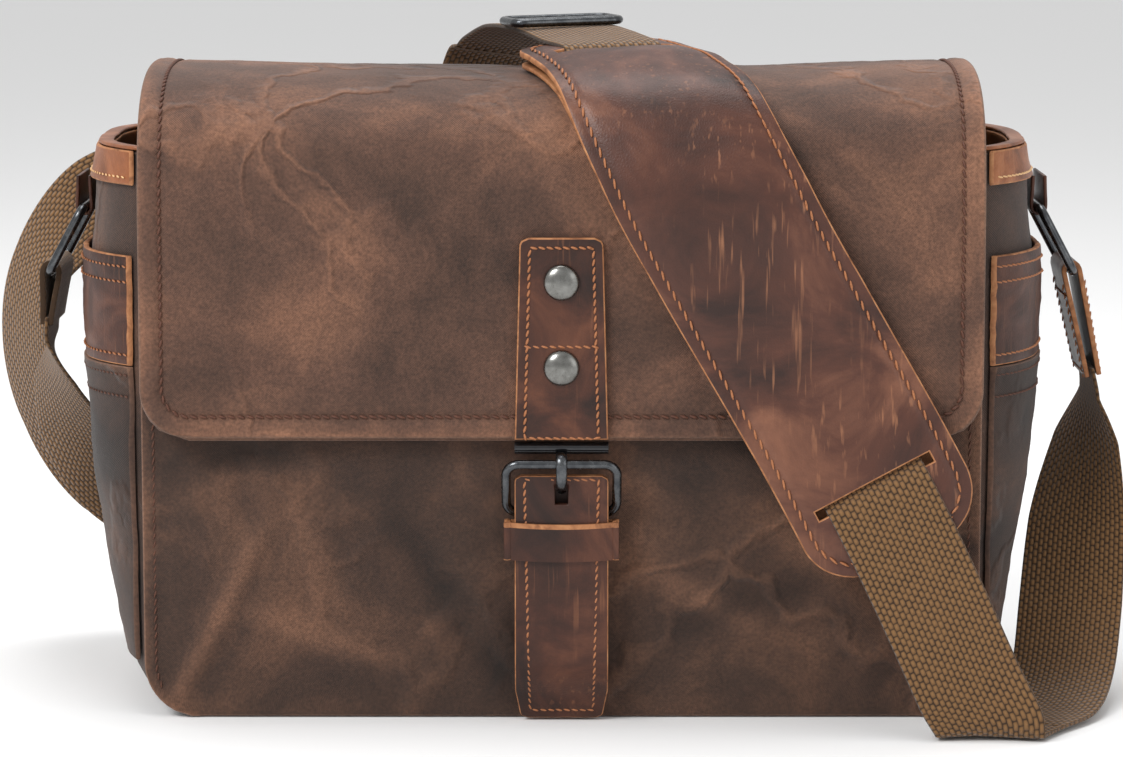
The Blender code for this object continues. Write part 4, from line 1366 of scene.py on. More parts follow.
@dataclass
class PaddedInsert:
    """The foam boards and dividers that hold the camera, blown up as sewn covers."""

    finishes: Finishes
    crown: float = 0.0012
    voxel: float = 0.0042
    pressure: float = 4.0
    frames: int = 20
    cap: float = 0.0016

    def flat_cover(self, name: str, low: Vector, high: Vector) -> Piece:
        """A cover before it is filled: a box with softened corners.

        Args:
            name: the piece's name.
            low: the lowest corner that it may reach.
            high: the highest one.

        Returns:
            The new object.
        """
        size = high - low - Vector((2, 2, 2)) * self.crown
        bm = bmesh.new()
        bmesh.ops.create_cube(bm, size=1.0)
        bmesh.ops.scale(bm, vec=size, verts=bm.verts)
        bmesh.ops.translate(bm, vec=(low + high) / 2, verts=bm.verts)
        bmesh.ops.bevel(bm, geom=bm.edges[:], offset=0.0015, segments=2, affect="EDGES",
                        profile=0.5)
        piece = finished(name, bm, [self.finishes.padding])
        grid = piece.modifiers.new("grid", "REMESH")
        grid.mode = "VOXEL"
        grid.voxel_size = self.voxel
        self.apply(piece)
        return piece

    @staticmethod
    def apply(piece: Piece) -> None:
        """Turns a piece's modifiers into plain mesh."""
        depsgraph = bpy.context.evaluated_depsgraph_get()
        mesh = bpy.data.meshes.new_from_object(piece.evaluated_get(depsgraph))
        piece.modifiers.clear()
        piece.data = mesh

    def fill(self, piece: Piece, low: Vector, high: Vector) -> None:
        """Blows the cover up by cloth simulation, inside its own room.

        Args:
            piece: the flat cover.
            low: the lowest corner that it may reach.
            high: the highest one.
        """
        cloth = piece.modifiers.new("cover", "CLOTH")
        cloth.settings.use_pressure = True
        cloth.settings.uniform_pressure_force = self.pressure
        cloth.settings.effector_weights.gravity = 0.0
        cloth.settings.quality = 4
        cloth.collision_settings.use_collision = False
        before = [v.co.copy() for v in piece.data.vertices]
        scene = bpy.context.scene
        for number in range(1, self.frames + 1):
            scene.frame_set(number)
        depsgraph = bpy.context.evaluated_depsgraph_get()
        blown = piece.evaluated_get(depsgraph).data
        after = [v.co.copy() for v in blown.vertices]
        piece.modifiers.clear()
        scene.frame_set(1)
        for vert, start, end in zip(piece.data.vertices, before, after):
            move = end - start
            if move.length > self.cap:
                move *= self.cap / move.length
            spot = start + move
            vert.co = [max(a, min(b, c)) for a, b, c in zip(low, high, spot)]

    def board(self, node: str, body: str) -> None:
        """A padded board or divider in its node's room.

        Args:
            node: the CAD node that it stands for.
            body: the body that it moves with.
        """
        low, high = (Vector(c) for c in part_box(node))
        piece = self.flat_cover(node + "_padding", low, high)
        self.fill(piece, low, high)
        smooth = piece.modifiers.new("smooth", "SUBSURF")
        smooth.levels = smooth.render_levels = 1
        self.apply(piece)
        piece.data.shade_smooth()
        size = high - low
        thin = min(range(3), key=lambda axis: size[axis])
        wide = [axis for axis in range(3) if axis != thin]
        cloth = piece.data.uv_layers.new(name="Cloth")
        for loop in piece.data.loops:
            spot = piece.data.vertices[loop.vertex_index].co
            cloth.data[loop.index].uv = (spot[wide[0]], spot[wide[1]])
        settle(piece, body, "padding", node)

    def build(self) -> None:
        """Makes every board and divider."""
        for word in ("base", "front", "back", "left", "right"):
            self.board("insert_" + word, "root")
        for side in Side:
            self.board("divider_" + side.word, "divider_" + side.word)


# ---- flap ----------------------------------------------------------------------------------
@dataclass
class Flap:
    """The flap's two layers with the upper closure strap and its metal."""

    finishes: Finishes
    seams: Seamstress
    half: float = 0.148
    radius: float = 0.017
    layer: float = 0.002
    edge_lift: float = 0.0025
    seam_inset: float = 0.0077
    strap_half: tuple[float, float] = (0.0146, 0.0164)
    strap_thick: float = 0.0026
    hinge_half: float = 0.144
    route: Route = field(init=False)

    HINGE = (0.068, 0.203)
    FRONT_Y = -0.0795
    SIDE_VIEW = (HINGE, (0.0655, 0.212), (0.057, 0.219), (0.04, 0.2245), (0.0, 0.229),
                 (-0.045, 0.2262), (-0.0705, 0.2135), (-0.0785, 0.19), (FRONT_Y, 0.15),
                 (FRONT_Y, 0.103))

    def __post_init__(self) -> None:
        """Draws the flap's side view."""
        self.route = Route([Vector((0, y, z)) for y, z in self.SIDE_VIEW])

    def normal(self, s: float) -> Vector:
        """The direction away from the bag at arc length s."""
        along = self.route.direction(s)
        return Vector((0, along.z, -along.y))

    def surface(self, x: float, s: float, height: float) -> Vector:
        """A point at x and arc length s, at a height off the outer face."""
        normal = self.normal(s)
        lift = self.edge_lift * (x / self.half) ** 2 * max(0.0, normal.z) * min(1.0, s / 0.03)
        point = self.route.at(s) + normal * height
        return Vector((x, point.y, point.z + lift))

    def s_at(self, z: float) -> float:
        """The arc length where the flap's front is at height z."""
        return self.route.nearest((0, self.FRONT_Y, z))

    def edge_distance(self, x: float, s: float) -> float:
        """How far inside the flap's edge a flat point is."""
        dx = self.half - abs(x)
        ds = self.route.length - s
        if dx < self.radius and ds < self.radius:
            return self.radius - math.hypot(self.radius - dx, self.radius - ds)
        return min(dx, ds)

    def build(self) -> None:
        """Makes the flap and what is on it."""
        f = self.finishes
        length = self.route.length

        def place(u: float, v: float) -> tuple[float, float]:
            """The flap's x and arc length at its shares."""
            s = length * v
            return (2 * u - 1) * (self.half - end_rounding(length - s, self.radius)), s

        def relief(u: float, v: float) -> float:
            """The outer layer's waves, seam groove and edge band."""
            x, s = place(u, v)
            inside = self.edge_distance(x, s)
            wave = 0.0006 * soft_noise((x, s, 0.7), 20.0, 17.0)
            wave += 0.00025 * soft_noise((x, s, 0.2), 75.0, 21.0)
            calm = min(1.0, inside / 0.02) * min(1.0, s / 0.02)
            near_strap = 1 - math.exp(-((x / 0.022) ** 4)) * (1.0 if s > length * 0.6 else 0.0)
            seam = -0.0008 * bell(inside - self.seam_inset, 0.0014)
            band = 0.0005 * bell(inside - 0.0038, 0.0022)
            return min(0.0003, wave * calm * near_strap) + (seam + band) * min(1.0, s / 0.02)

        def wear(u: float, v: float) -> float:
            """How rubbed the flap is there."""
            x, s = place(u, v)
            inside = self.edge_distance(x, s)
            value = 0.47 + 0.17 * soft_noise((x, s, 0.4), 12.0, 31.0)
            value += 0.2 * bell(inside, 0.0022)
            value += 0.07 * bell(inside - 0.0045, 0.003)
            shoulder = bell(s - length * 0.58, 0.012)
            return value + 0.06 * shoulder

        outer = Shell("flap_outer_cloth", lambda u, v, h: self.surface(*place(u, v), h),
                      (0.296, length), spread(190), spread(190), -self.layer, 0.0, 0.0008,
                      relief=relief, wear=wear, both_sides=False)
        outer.build(f.flap_skin, "flap", "canvas", "flap_canvas")
        first = 0.012

        def inner_place(u: float, v: float) -> tuple[float, float]:
            """The lining's x and arc length at its shares."""
            s = first + (length + 0.0012 - first) * v
            gone = end_rounding(length + 0.0012 - s, self.radius)
            return (2 * u - 1) * (self.half - gone), s

        inner = Shell("flap_inner_cloth", lambda u, v, h: self.surface(*inner_place(u, v), h),
                      (0.296, length), spread(60), spread(70), -2 * self.layer - GAP,
                      -self.layer - GAP, 0.0007,
                      wear=lambda u, v: 0.5 + 0.1 * soft_noise((u, v, 0), 5.0, 3.0))
        inner.build((f.canvas, f.lining, f.canvas_edge), "flap", "lining", "flap_lining")

        seam = outline_path(lambda x, s: self.surface(x, s, -0.0002), self.half, self.half,
                            0.012, length, self.seam_inset, self.radius, closed=False)
        self.seams.sew("flap_stitches", [seam], f.canvas_thread, "flap", "canvas", 0.0033,
                       0.00055)
        back = [self.surface(0.142 - 0.284 * k / 90, 0.015, 0.0015) for k in range(91)]
        self.seams.sew("flap_back_stitches", [back], f.canvas_thread, "flap", "canvas", CANVAS_PITCH)
        self.make_hinge()
        self.make_strap()
        self.make_metal()

    def make_hinge(self) -> None:
        """The canvas strip that sews the flap to the back panel."""
        f = self.finishes
        back_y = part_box("back_panel")[1][1] + GAP
        view = [Vector((0, back_y, 0.18)), Vector((0, back_y, 0.19)),
                Vector((0, back_y + 0.0006, 0.199))]
        for k in range(5):
            s = 0.002 + 0.004 * k
            view.append(self.route.at(s) + self.normal(s) * (GAP + 0.0001))
        route = Route(view)

        def surface(u: float, v: float, height: float) -> Vector:
            """A point on the hinge strip."""
            s = route.length * v
            along = route.inner_direction(s)
            normal = Vector((0, along.z, -along.y))
            x = (2 * u - 1) * self.hinge_half
            point = route.at(s) + normal * height
            over = max(0.0, min(1.0, (s - 0.023) / 0.015))
            lift = self.edge_lift * (x / self.half) ** 2 * max(0.0, normal.z) * over
            return Vector((x, point.y, point.z + lift))

        strip = Shell("flap_hinge_cloth", surface, (2 * self.hinge_half, route.length), spread(80),
                      spread(36), 0, 0.001, 0.0003)
        piece = strip.build(f.flap_skin, "", "canvas")
        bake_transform(piece)
        row = [surface(0.01 + 0.98 * k / 90, 0.12, 0.0012) for k in range(91)]
        self.seams.sew("hinge_stitches", [row], f.canvas_thread, "root", "canvas", CANVAS_PITCH)

    def make_strap(self) -> None:
        """The upper closure strap, stitched."""
        f = self.finishes
        s_top, s_end = self.s_at(0.175), self.s_at(0.1032)
        top, foot = self.strap_half
        corner = 0.003

        def place(u: float, v: float) -> tuple[float, float]:
            """The strap's x and arc length at its shares."""
            s = s_top + (s_end - s_top) * v
            half = top + (foot - top) * v - end_rounding(s - s_top, corner)
            return (2 * u - 1) * half, s

        def relief(u: float, v: float) -> float:
            """The groove under the stitches, with a slight unevenness."""
            x, s = place(u, v)
            inside = min(self.strap_half[0] - abs(x) + 0.0018 * v, s - s_top)
            groove = -0.0004 * bell(inside - 0.0035, 0.0007)
            return groove + 0.0002 * soft_noise((x, s, 0), 60.0, 5.0)

        strap = Shell("closure_strap_upper_leather",
                      lambda u, v, h: self.surface(*place(u, v), h), (0.031, 0.072),
                      spread(30), spread(60), GAP, GAP + self.strap_thick, 0.0005,
                      relief=relief, both_sides=False)
        strap.build(f.leather_skin, "flap", "leather",
               "closure_strap_upper")
        height = GAP + self.strap_thick

        def at(x: float, s: float) -> Vector:
            """A stitch's place on the strap's face."""
            return self.surface(x, s, height - 0.0001)

        around = outline_path(at, top, foot, s_top, s_end + 0.003, 0.0035, corner)
        cross_s = self.s_at(0.1345)
        cross = [at(0.0118 - 0.0236 * k / 8, cross_s) for k in range(9)]
        self.seams.sew("closure_upper_stitches", [around, cross], f.leather_thread, "flap",
                       "leather", *LEATHER_STITCH)

    def make_metal(self) -> None:
        """Rivet caps, hook bar and snap stud."""
        f = self.finishes
        for name in ("rivet_upper", "rivet_lower"):
            low, high = (Vector(c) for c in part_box(name))
            radius = (high.x - low.x) / 2
            rise = high.y - low.y
            profile = [(0.0, rise)]
            for step in range(1, 13):
                angle = math.radians(90 - 7.5 * step)
                profile.append((radius * math.cos(angle), rise * math.sin(angle)))
            profile.append((0.0, 0.0))
            place = Matrix.Translation(((low.x + high.x) / 2, high.y, (low.z + high.z) / 2))
            place = place @ Matrix.Rotation(math.radians(90), 4, "X")
            settle(turned(name + "_cap", profile, place, f.nickel), "flap", "nickel", name)

        low, high = (Vector(c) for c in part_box("hook_bar"))
        radius = (high.y - low.y) / 2
        centre = (low + high) / 2
        points = [Vector((low.x + (high.x - low.x) * k / 12, centre.y, centre.z))
                  for k in range(13)]
        bar = tube("hook_bar_rod", points, radius, f.black)
        settle(bar, "flap", "black_metal", "hook_bar")
        dress("snap_stud", f.nickel)


# ---- closure -------------------------------------------------------------------------------
@dataclass
class Closure:
    """The lower strap with its buckle, prong and keeper."""

    finishes: Finishes
    seams: Seamstress
    shell: BagShell
    plane_y: float = -0.08
    half: float = 0.0165
    thick: float = 0.0036
    wire: float = 0.00165
    hole_half: float = 0.0023
    hole_reach: float = 0.0035
    low_bar: Vector = field(default_factory=lambda: Vector((0.0, -0.07615, 0.0762)))
    high_bar: Vector = field(default_factory=lambda: Vector((0.0, -0.0838, 0.0945)))

    def build(self) -> None:
        """Makes the closure."""
        self.make_strap()
        self.make_buckle()
        self.make_keeper()

    def make_strap(self) -> None:
        """Two layers of leather, sewn to the body at the bottom."""
        f = self.finishes
        low_y = self.shell.front(0, 0.0, 0.0011 + 0.0012).y - self.thick / 2
        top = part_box("closure_strap_lower")[1][2] + 0.0002
        view = Route([Vector((0, low_y, 0.0015)), Vector((0, low_y - 0.0045, 0.01)),
                      Vector((0, self.plane_y + 0.001, 0.02)),
                      Vector((0, self.plane_y, 0.029)), Vector((0, self.plane_y, 0.055)),
                      Vector((0, self.plane_y, top))])

        def half_at(s: float) -> float:
            """Half the strap's width at arc length s."""
            corner = end_rounding(min(s, view.length - s), 0.0022)
            return self.half - 0.002 * max(0.0, 1 - s / 0.013) - corner

        def at(x: float, s: float, height: float) -> Vector:
            """A point at x and arc length s, at a height off the strap's middle."""
            along = view.direction(s)
            point = view.at(s) + Vector((0, -along.z, along.y)) * height
            return Vector((x, point.y, point.z))

        def relief(u: float, v: float) -> float:
            """The groove under the stitches, with a slight unevenness."""
            s = view.length * v
            inside = min(half_at(s) * (1 - abs(2 * u - 1)), s)
            groove = -0.0004 * bell(inside - 0.0035, 0.0007)
            swell = 0.0002 * soft_noise((u * 0.03, s, 0), 60.0, 12.0)
            return groove + min(0.0001, swell)

        hole_s = view.nearest((0, self.plane_y, 0.0842))
        hole_v, reach = hole_s / view.length, self.hole_reach / view.length
        hole_u = self.hole_half / (2 * self.half)
        rows = spread(90, hole_v - reach, hole_v + reach)
        columns = spread(30, 0.5 - hole_u, 0.5 + hole_u)

        def hole(u: float, v: float) -> bool:
            """Whether a cell is in the prong's hole."""
            return abs(u - 0.5) < hole_u and abs(v - hole_v) < reach

        layers = ((-self.thick / 2, -0.0001, "back"), (0.0001, self.thick / 2, "face"))
        for number, (low, high, word) in enumerate(layers):
            face = Shell(f"closure_strap_lower_{word}",
                         lambda u, v, h: at((2 * u - 1) * half_at(view.length * v),
                                            view.length * v, h),
                         (0.033, view.length), columns, rows, low, high, 0.0004, hole=hole,
                         relief=relief if number else None, both_sides=False)
            nodes = ("closure_strap_lower",) if number else ()
            piece = face.build(f.leather_skin, "root", "leather", *nodes)
            for polygon in piece.data.polygons:
                if abs(polygon.center.x) < 0.006 and 0.075 < polygon.center.z < 0.0885:
                    polygon.material_index = 0
        seam = outline_path(lambda x, s: at(x, s, self.thick / 2 - 0.0003), self.half - 0.0018,
                            self.half, 0.0, view.length + 0.002, 0.0035, 0.0022)
        self.seams.sew("closure_lower_stitches", [seam], f.leather_thread, "root", "leather",
                       *LEATHER_STITCH)
        for node, material in (("buckle_chape", f.leather), ("snap_socket", f.nickel),
                               ("base_board", f.lining)):
            dress(node, material)

    def make_buckle(self) -> None:
        """The buckle frame and the prong on its upper bar."""
        f = self.finishes
        low, high = self.low_bar, self.high_bar
        rise = high - low
        points = [(low + high) / 2 + rise.normalized() * p.y + Vector((p.x, 0, 0))
                  for p in rounded_loop(0.0195, rise.length / 2, 0.0045)]
        settle(tube("buckle_frame_wire", points, self.wire, f.gunmetal, closed=True),
               "buckle", "gunmetal", "buckle_frame")
        wrap = self.wire + GAP + 0.0012
        curve = []
        for step in range(17):
            angle = math.radians(-40 + 13.75 * step)
            curve.append(high + wrap * Vector((0, math.cos(angle), math.sin(angle))))
        tail = Route([curve[-1], Vector((0, -0.0865, 0.0905)), Vector((0, -0.0848, 0.0872)),
                      Vector((0, -0.0822, 0.0852)), Vector((0, -0.0797, 0.0842))], 6)
        prong = tube("buckle_prong_pin", [*curve[:-1], *tail.dots], 0.0012, f.gunmetal,
                     flat=0.75)
        for vert in prong.data.vertices:
            vert.co.x *= 1.7
        settle(prong, "prong", "gunmetal", "buckle_prong")

    def make_keeper(self) -> None:
        """A leather loop round the strap, its upper edge raw and dipping in the middle."""
        f = self.finishes
        low, high = (Vector(c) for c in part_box("keeper_loop"))
        outer = rounded_loop((high.x - low.x) / 2, (high.y - low.y) / 2, 0.0012, 4)
        ring = Route([*outer, outer[0]], 2)
        middle_y = (low.y + high.y) / 2

        def surface(u: float, v: float, height: float) -> Vector:
            """A point on the loop, u round it and v up it."""
            s = ring.length * min(u, 0.99999)
            point = ring.at(s)
            tangent = ring.inner_direction(s)
            inward = Vector((-tangent.y, tangent.x, 0))
            spot = point + inward * height
            dip = 0.0009 * (1 - (point.x / high.x) ** 2) * (1 if point.y < 0 else 0)
            z = low.z + (high.z - low.z) * v - dip
            return Vector((spot.x, middle_y + spot.y, z))

        bm = bmesh.new()
        cloth = bm.loops.layers.uv.new("Cloth")
        columns, rows = 96, 8
        grids = [[[bm.verts.new(surface(i / columns, j / rows, h)) for i in range(columns)]
                  for j in range(rows + 1)] for h in (0.0, 0.0012)]
        for grid in grids:
            for j in range(rows):
                for i in range(columns):
                    k = (i + 1) % columns
                    face = bm.faces.new((grid[j][i], grid[j][k], grid[j + 1][k],
                                         grid[j + 1][i]))
                    face.material_index = int(j == rows - 1)
        rims = []
        for j in (0, rows):
            for i in range(columns):
                k = (i + 1) % columns
                rims.append(bm.faces.new((grids[0][j][i], grids[0][j][k],
                                          grids[1][j][k], grids[1][j][i])))
        for face in rims:
            face.material_index = 1
        for face in bm.faces:
            for loop in face.loops:
                loop[cloth].uv = (loop.vert.co.x, loop.vert.co.z)
        edges = {e for face in rims for e in face.edges
                 if len({g.material_index for g in e.link_faces}) > 1}
        bmesh.ops.bevel(bm, geom=list(edges), offset=0.0003, segments=2, affect="EDGES",
                        profile=0.5, material=1)
        bmesh.ops.recalc_face_normals(bm, faces=bm.faces)
        piece = finished("keeper_loop_leather", bm, [f.leather, f.raw_edge])
        settle(piece, "keeper", "leather", "keeper_loop")


# ---- rings ---------------------------------------------------------------------------------
@dataclass
class StrapRings:
    """The rings on the gussets, their tabs, and the strap's ends."""

    finishes: Finishes
    seams: Seamstress
    wire: float = 0.00165
    width: float = 0.046
    height: float = 0.0265
    tilt: float = math.radians(28)
    tab_half: float = 0.0165
    tab_thick: float = 0.0012
    loop_half: float = 0.0185
    loop_thick: float = 0.002
    end_half: float = 0.0175
    end_thick: float = 0.0018
    pivot: Vector = field(default_factory=lambda: Vector((0.1751, 0.011, 0.1775)))

    @staticmethod
    def hairpin(centre: Vector, down: Vector, radius: float, arms: float,
                gap: float) -> Route:
        """A folded tab's side view: down one face of a bar, round it and back."""
        across = Vector((-down.z, 0, down.x))
        points = [centre + down * arms + across * gap,
                  centre + down * arms * 0.5 + across * (gap + radius) / 2,
                  centre + down * radius + across * radius]
        for step in range(7):
            angle = math.radians(180 * step / 6)
            points.append(centre + radius * (across * math.cos(angle) - down * math.sin(angle)))
        points += [centre + down * radius - across * radius,
                   centre + down * arms * 0.5 - across * (gap + radius) / 2,
                   centre + down * arms - across * gap]
        return Route(points, 4)

    @staticmethod
    def folded(name: str, route: Route, half: float, thick: float, rows: int) -> Shell:
        """A strip folded along a side view, as wide as it is along Y."""
        def surface(u: float, v: float, height: float) -> Vector:
            """A point on the folded strip."""
            s = route.length * v
            along = route.inner_direction(s)
            normal = Vector((along.z, 0, -along.x))
            return route.at(s) + normal * height + Vector((0, (2 * u - 1) * half, 0))

        return Shell(name, surface, (2 * half, route.length), spread(12), spread(rows),
                     -thick / 2, thick / 2, 0.0003)

    def build(self) -> None:
        """Makes both sides."""
        f = self.finishes
        for side in Side:
            pivot = Vector((side.value * self.pivot.x, self.pivot.y, self.pivot.z))
            down = Vector((side.value * math.sin(self.tilt), 0, -math.cos(self.tilt)))
            points = [pivot + down * (p.y + self.height / 2) + Vector((0, p.x, 0))
                      for p in rounded_loop(self.width / 2, self.height / 2, 0.004)]
            body = "ring_" + side.word
            settle(tube(f"{body}_wire", points, self.wire, f.gunmetal, closed=True), body,
                   "gunmetal", body)
            fold = self.wire + GAP + 0.0006
            route = self.hairpin(pivot, Vector((0, 0, 1)), fold, 0.0115, fold - 0.0004)
            tab = self.folded(f"ring_tab_{side.word}_leather", route, self.tab_half,
                              self.tab_thick, 40)
            tab.build((f.leather,) * 3, "root", "leather", f"ring_tab_{side.word}")
            low_bar = pivot + down * self.height
            if side is Side.LEFT:
                reach = Vector((-0.1, 0, -1)).normalized()
                route = self.hairpin(low_bar, reach, self.wire + GAP + 0.001, 0.02, 0.0013)
                end = self.folded("webbing_loop_left_cloth", route, self.loop_half,
                                  self.loop_thick, 40)
                end.build((f.webbing,) * 3, body, "webbing", "webbing_loop_left")
                continue
            reach = Vector((0.22, 0, -1)).normalized()
            route = self.hairpin(low_bar, reach, self.wire + GAP + 0.0009, 0.04, 0.0022)
            end = self.folded("end_tab_right_leather", route, self.end_half,
                              self.end_thick, 60)
            end.build(f.leather_skin, body, "leather", "end_tab_right")
            paths = []
            across = Vector((-reach.z, 0, reach.x))
            for face in (-1, 1):
                for y in (-0.014, 0.014):
                    paths.append([low_bar + reach * (0.006 + 0.033 * k / 12)
                                  + across * face * (0.0041 - 0.001 * k / 12)
                                  + Vector((0, y, 0)) for k in range(13)])
                for depth in (0.009, 0.038):
                    paths.append([low_bar + reach * depth
                                  + across * face * (0.0041 - 0.001 * depth / 0.04)
                                  + Vector((0, -0.014 + 0.028 * k / 10, 0))
                                  for k in range(11)])
            self.seams.sew("end_tab_stitches", paths, f.leather_thread, body, "leather")


# ---- shoulder strap ------------------------------------------------------------------------
@dataclass
class ShoulderStrap:
    """Pad, slider and one long webbing round the bag."""

    finishes: Finishes
    seams: Seamstress
    flap: Flap
    webbing: float = 0.038
    thick: float = 0.002
    pad_half: float = 0.032
    pad_radius: float = 0.019
    overhang: float = 0.027
    backing: float = 0.0016
    layer_gap: float = 0.0008
    leather: float = 0.0022
    slot_half: float = 0.0225
    slot_width: float = 0.0036
    profile: Route = field(init=False)
    lane: Route = field(init=False)

    def __post_init__(self) -> None:
        """Draws the strap's way over the flap and down the front."""
        flap = self.flap
        points = []
        for share, height in ((0.06, 0.007), (0.16, 0.0068), (0.26, 0.005), (0.36, 0.0016),
                              (0.46, 0.0016), (0.56, 0.0026), (0.66, 0.0024), (0.78, 0.0014),
                              (0.9, 0.0012)):
            s = flap.route.length * share
            points.append(flap.route.at(s) + flap.normal(s) * height)
        points += [Vector((0, -0.0826, 0.105)), Vector((0, -0.0862, 0.08)),
                   Vector((0, -0.091, 0.043)), Vector((0, -0.0958, 0.003))]
        self.profile = Route(points)
        near = self.profile.nearest
        ends = ((-0.024, 0.0), (0.0, near((0, 0.012, 0.2345))), (0.019, near((0, -0.03, 0.2295))),
                (0.043, near((0, -0.079, 0.205))), (0.109, near((0, -0.0862, 0.087))),
                (0.149, self.profile.length))
        self.lane = Route([Vector((x, s, 0)) for x, s in ends])
        self.t_slider, self.t_upper, _, self.t_lower = (
            self.lane.nearest((x, s, 0)) for x, s in ends[1:5])

    def surface(self, t: float, w: float, height: float) -> Vector:
        """A point at t along the strap, w across it and height off what it lies on."""
        centre, along = self.lane.at(t), self.lane.direction(t)
        x = centre.x + along.y * w
        s = centre.y - along.x * w
        tangent = self.profile.direction(s)
        point = self.profile.at(s) + Vector((0, tangent.z, -tangent.y)) * height
        return Vector((x, point.y, point.z))

    @property
    def core(self) -> float:
        """The height of the webbing's middle inside the pad."""
        return self.backing + self.layer_gap + self.thick / 2

    @property
    def face(self) -> float:
        """The height of the pad's leather face."""
        return self.backing + 2 * self.layer_gap + self.thick + self.leather

    @property
    def over(self) -> float:
        """The height of the webbing's middle over the pad's ends."""
        return self.face + GAP + self.thick / 2

    def build(self) -> None:
        """Makes the strap."""
        self.make_pad()
        self.make_webbing()
        self.make_slider()

    def make_pad(self) -> None:
        """The leather pad with its two slots, and its backing."""
        f = self.finishes
        start, end = self.t_upper - self.overhang, self.t_lower + self.overhang
        length = end - start

        def place(u: float, v: float, inset: float = 0.0) -> tuple[float, float]:
            """The pad's t and w at its shares, inset from its edge."""
            first, last = start + inset, end - inset
            t = first + (last - first) * v
            gone = end_rounding(min(t - first, last - t), self.pad_radius)
            return t, (2 * u - 1) * (self.pad_half - inset - gone)

        def inside_by(t: float, w: float) -> float:
            """How far inside the pad's edge a flat point is."""
            dt, dw = min(t - start, end - t), self.pad_half - abs(w)
            if dt < self.pad_radius and dw < self.pad_radius:
                return self.pad_radius - math.hypot(self.pad_radius - dt, self.pad_radius - dw)
            return min(dt, dw)

        def relief(u: float, v: float) -> float:
            """The face's groove, thin edge, puff and waves."""
            t, w = place(u, v)
            inside = inside_by(t, w)
            groove = -0.0007 * bell(inside - 0.0045, 0.0009)
            thin = -0.0012 * bell(inside, 0.005)
            puff = 0.0009 * min(1.0, max(0.0, inside - 0.006) / 0.01)
            wave = 0.0004 * soft_noise((w, t, 0), 32.0, 41.0)
            return groove + thin + puff * (1 - bell(w, 0.03) * 0.3) + wave

        slots = [(t - start) / length for t in (self.t_upper, self.t_lower)]
        reach = self.slot_width / 2 / length
        rows = spread(150, *(v + d for v in slots for d in (-reach, reach)))
        edge = self.slot_half / self.pad_half / 2
        columns = spread(44, 0.5 - edge, 0.5 + edge)
        near_ends = [0.2 / 150, 0.45 / 150, 1 - 0.45 / 150, 1 - 0.2 / 150]
        rows = sorted([*rows, *near_ends])

        def hole(u: float, v: float) -> bool:
            """Whether a cell is in one of the two slots."""
            return abs(u - 0.5) < edge and any(abs(v - slot) < reach for slot in slots)

        low = self.face - self.leather
        pad = Shell("shoulder_pad_leather", lambda u, v, h: self.surface(*place(u, v), h),
                    (2 * self.pad_half, length), columns, rows, low, self.face, 0.0005,
                    hole=hole, relief=relief, both_sides=False)
        piece = pad.build((f.pad, f.leather, f.raw_edge), "strap", "leather", "pad_leather")
        back = Shell("shoulder_pad_backing",
                     lambda u, v, h: self.surface(*place(u, v, 0.0006), h),
                     (2 * self.pad_half, length), spread(24), spread(80), 0, self.backing,
                     0.0005)
        back.build((f.raw_edge, f.padding, f.raw_edge), "strap", "lining", "pad_backing")
        path = outline_path(lambda w, t: self.surface(t, w, self.face - 0.0006), self.pad_half,
                            self.pad_half, start, end, 0.0045, self.pad_radius)
        self.seams.sew("shoulder_pad_stitches", [path], f.leather_thread, "strap", "leather",
                       0.004, 0.00046)

    def ribbon(self, node: str, stations: Sequence[Station], rows: int, body: str = "") -> Piece:
        """Webbing through (centre, across) stations.

        Args:
            node: the CAD node that it stands for.
            stations: each centre with the direction of the webbing's width there.
            rows: how many cells it has along its length.
            body: the body that it moves with, or an empty name to leave it unattached.

        Returns:
            The new object.
        """
        route = Route([c for c, _ in stations], 12)
        marks = [route.nearest(c) for c, _ in stations]
        turns = list(zip(marks, [Vector(a).normalized() for _, a in stations]))

        def surface(u: float, v: float, height: float) -> Vector:
            """A point on the webbing, thinner towards its edges."""
            s = route.length * v
            across = between(turns, s).normalized()
            along = route.inner_direction(s)
            normal = along.cross(across).normalized()
            crown = height * (1 - 0.35 * abs(2 * u - 1) ** 6)
            point = route.at(s) + across * (u - 0.5) * self.webbing + normal * crown
            point.z = max(point.z, 0.0004)
            return point

        shell = Shell(node + "_cloth", surface, (self.webbing, route.length), spread(18),
                      spread(rows), -self.thick / 2, self.thick / 2, 0.0005)
        return shell.build((self.finishes.webbing,) * 3, body, "webbing", node)

    def strap_station(self, t: float, height: float) -> Station:
        """A station of the webbing where it lies along the strap's own way."""
        across = self.surface(t, 0.01, height) - self.surface(t, -0.01, height)
        return self.surface(t, 0, height), across.normalized()

    def make_webbing(self) -> None:
        """Every stretch of the webbing, from the right ring round to the left one."""
        side = [((0.1956, 0.011, 0.118), (0, -1, 0)),
                ((0.1972, 0.011, 0.106), (0.04, -1, 0)),
                ((0.196, 0.009, 0.09), (0.5, -0.87, 0)),
                ((0.1915, -0.002, 0.06), (0.88, -0.47, 0)),
                ((0.1875, -0.018, 0.03), (0.98, -0.2, 0.02)),
                ((0.1825, -0.038, 0.0105), (0.95, -0.3, 0.06)),
                ((0.1745, -0.062, 0.0034), (0.87, -0.5, 0)),
                ((0.16, -0.082, 0.002), (0.83, -0.56, 0))]
        piece = self.ribbon("webbing_side_right", side, 90)
        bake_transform(piece)

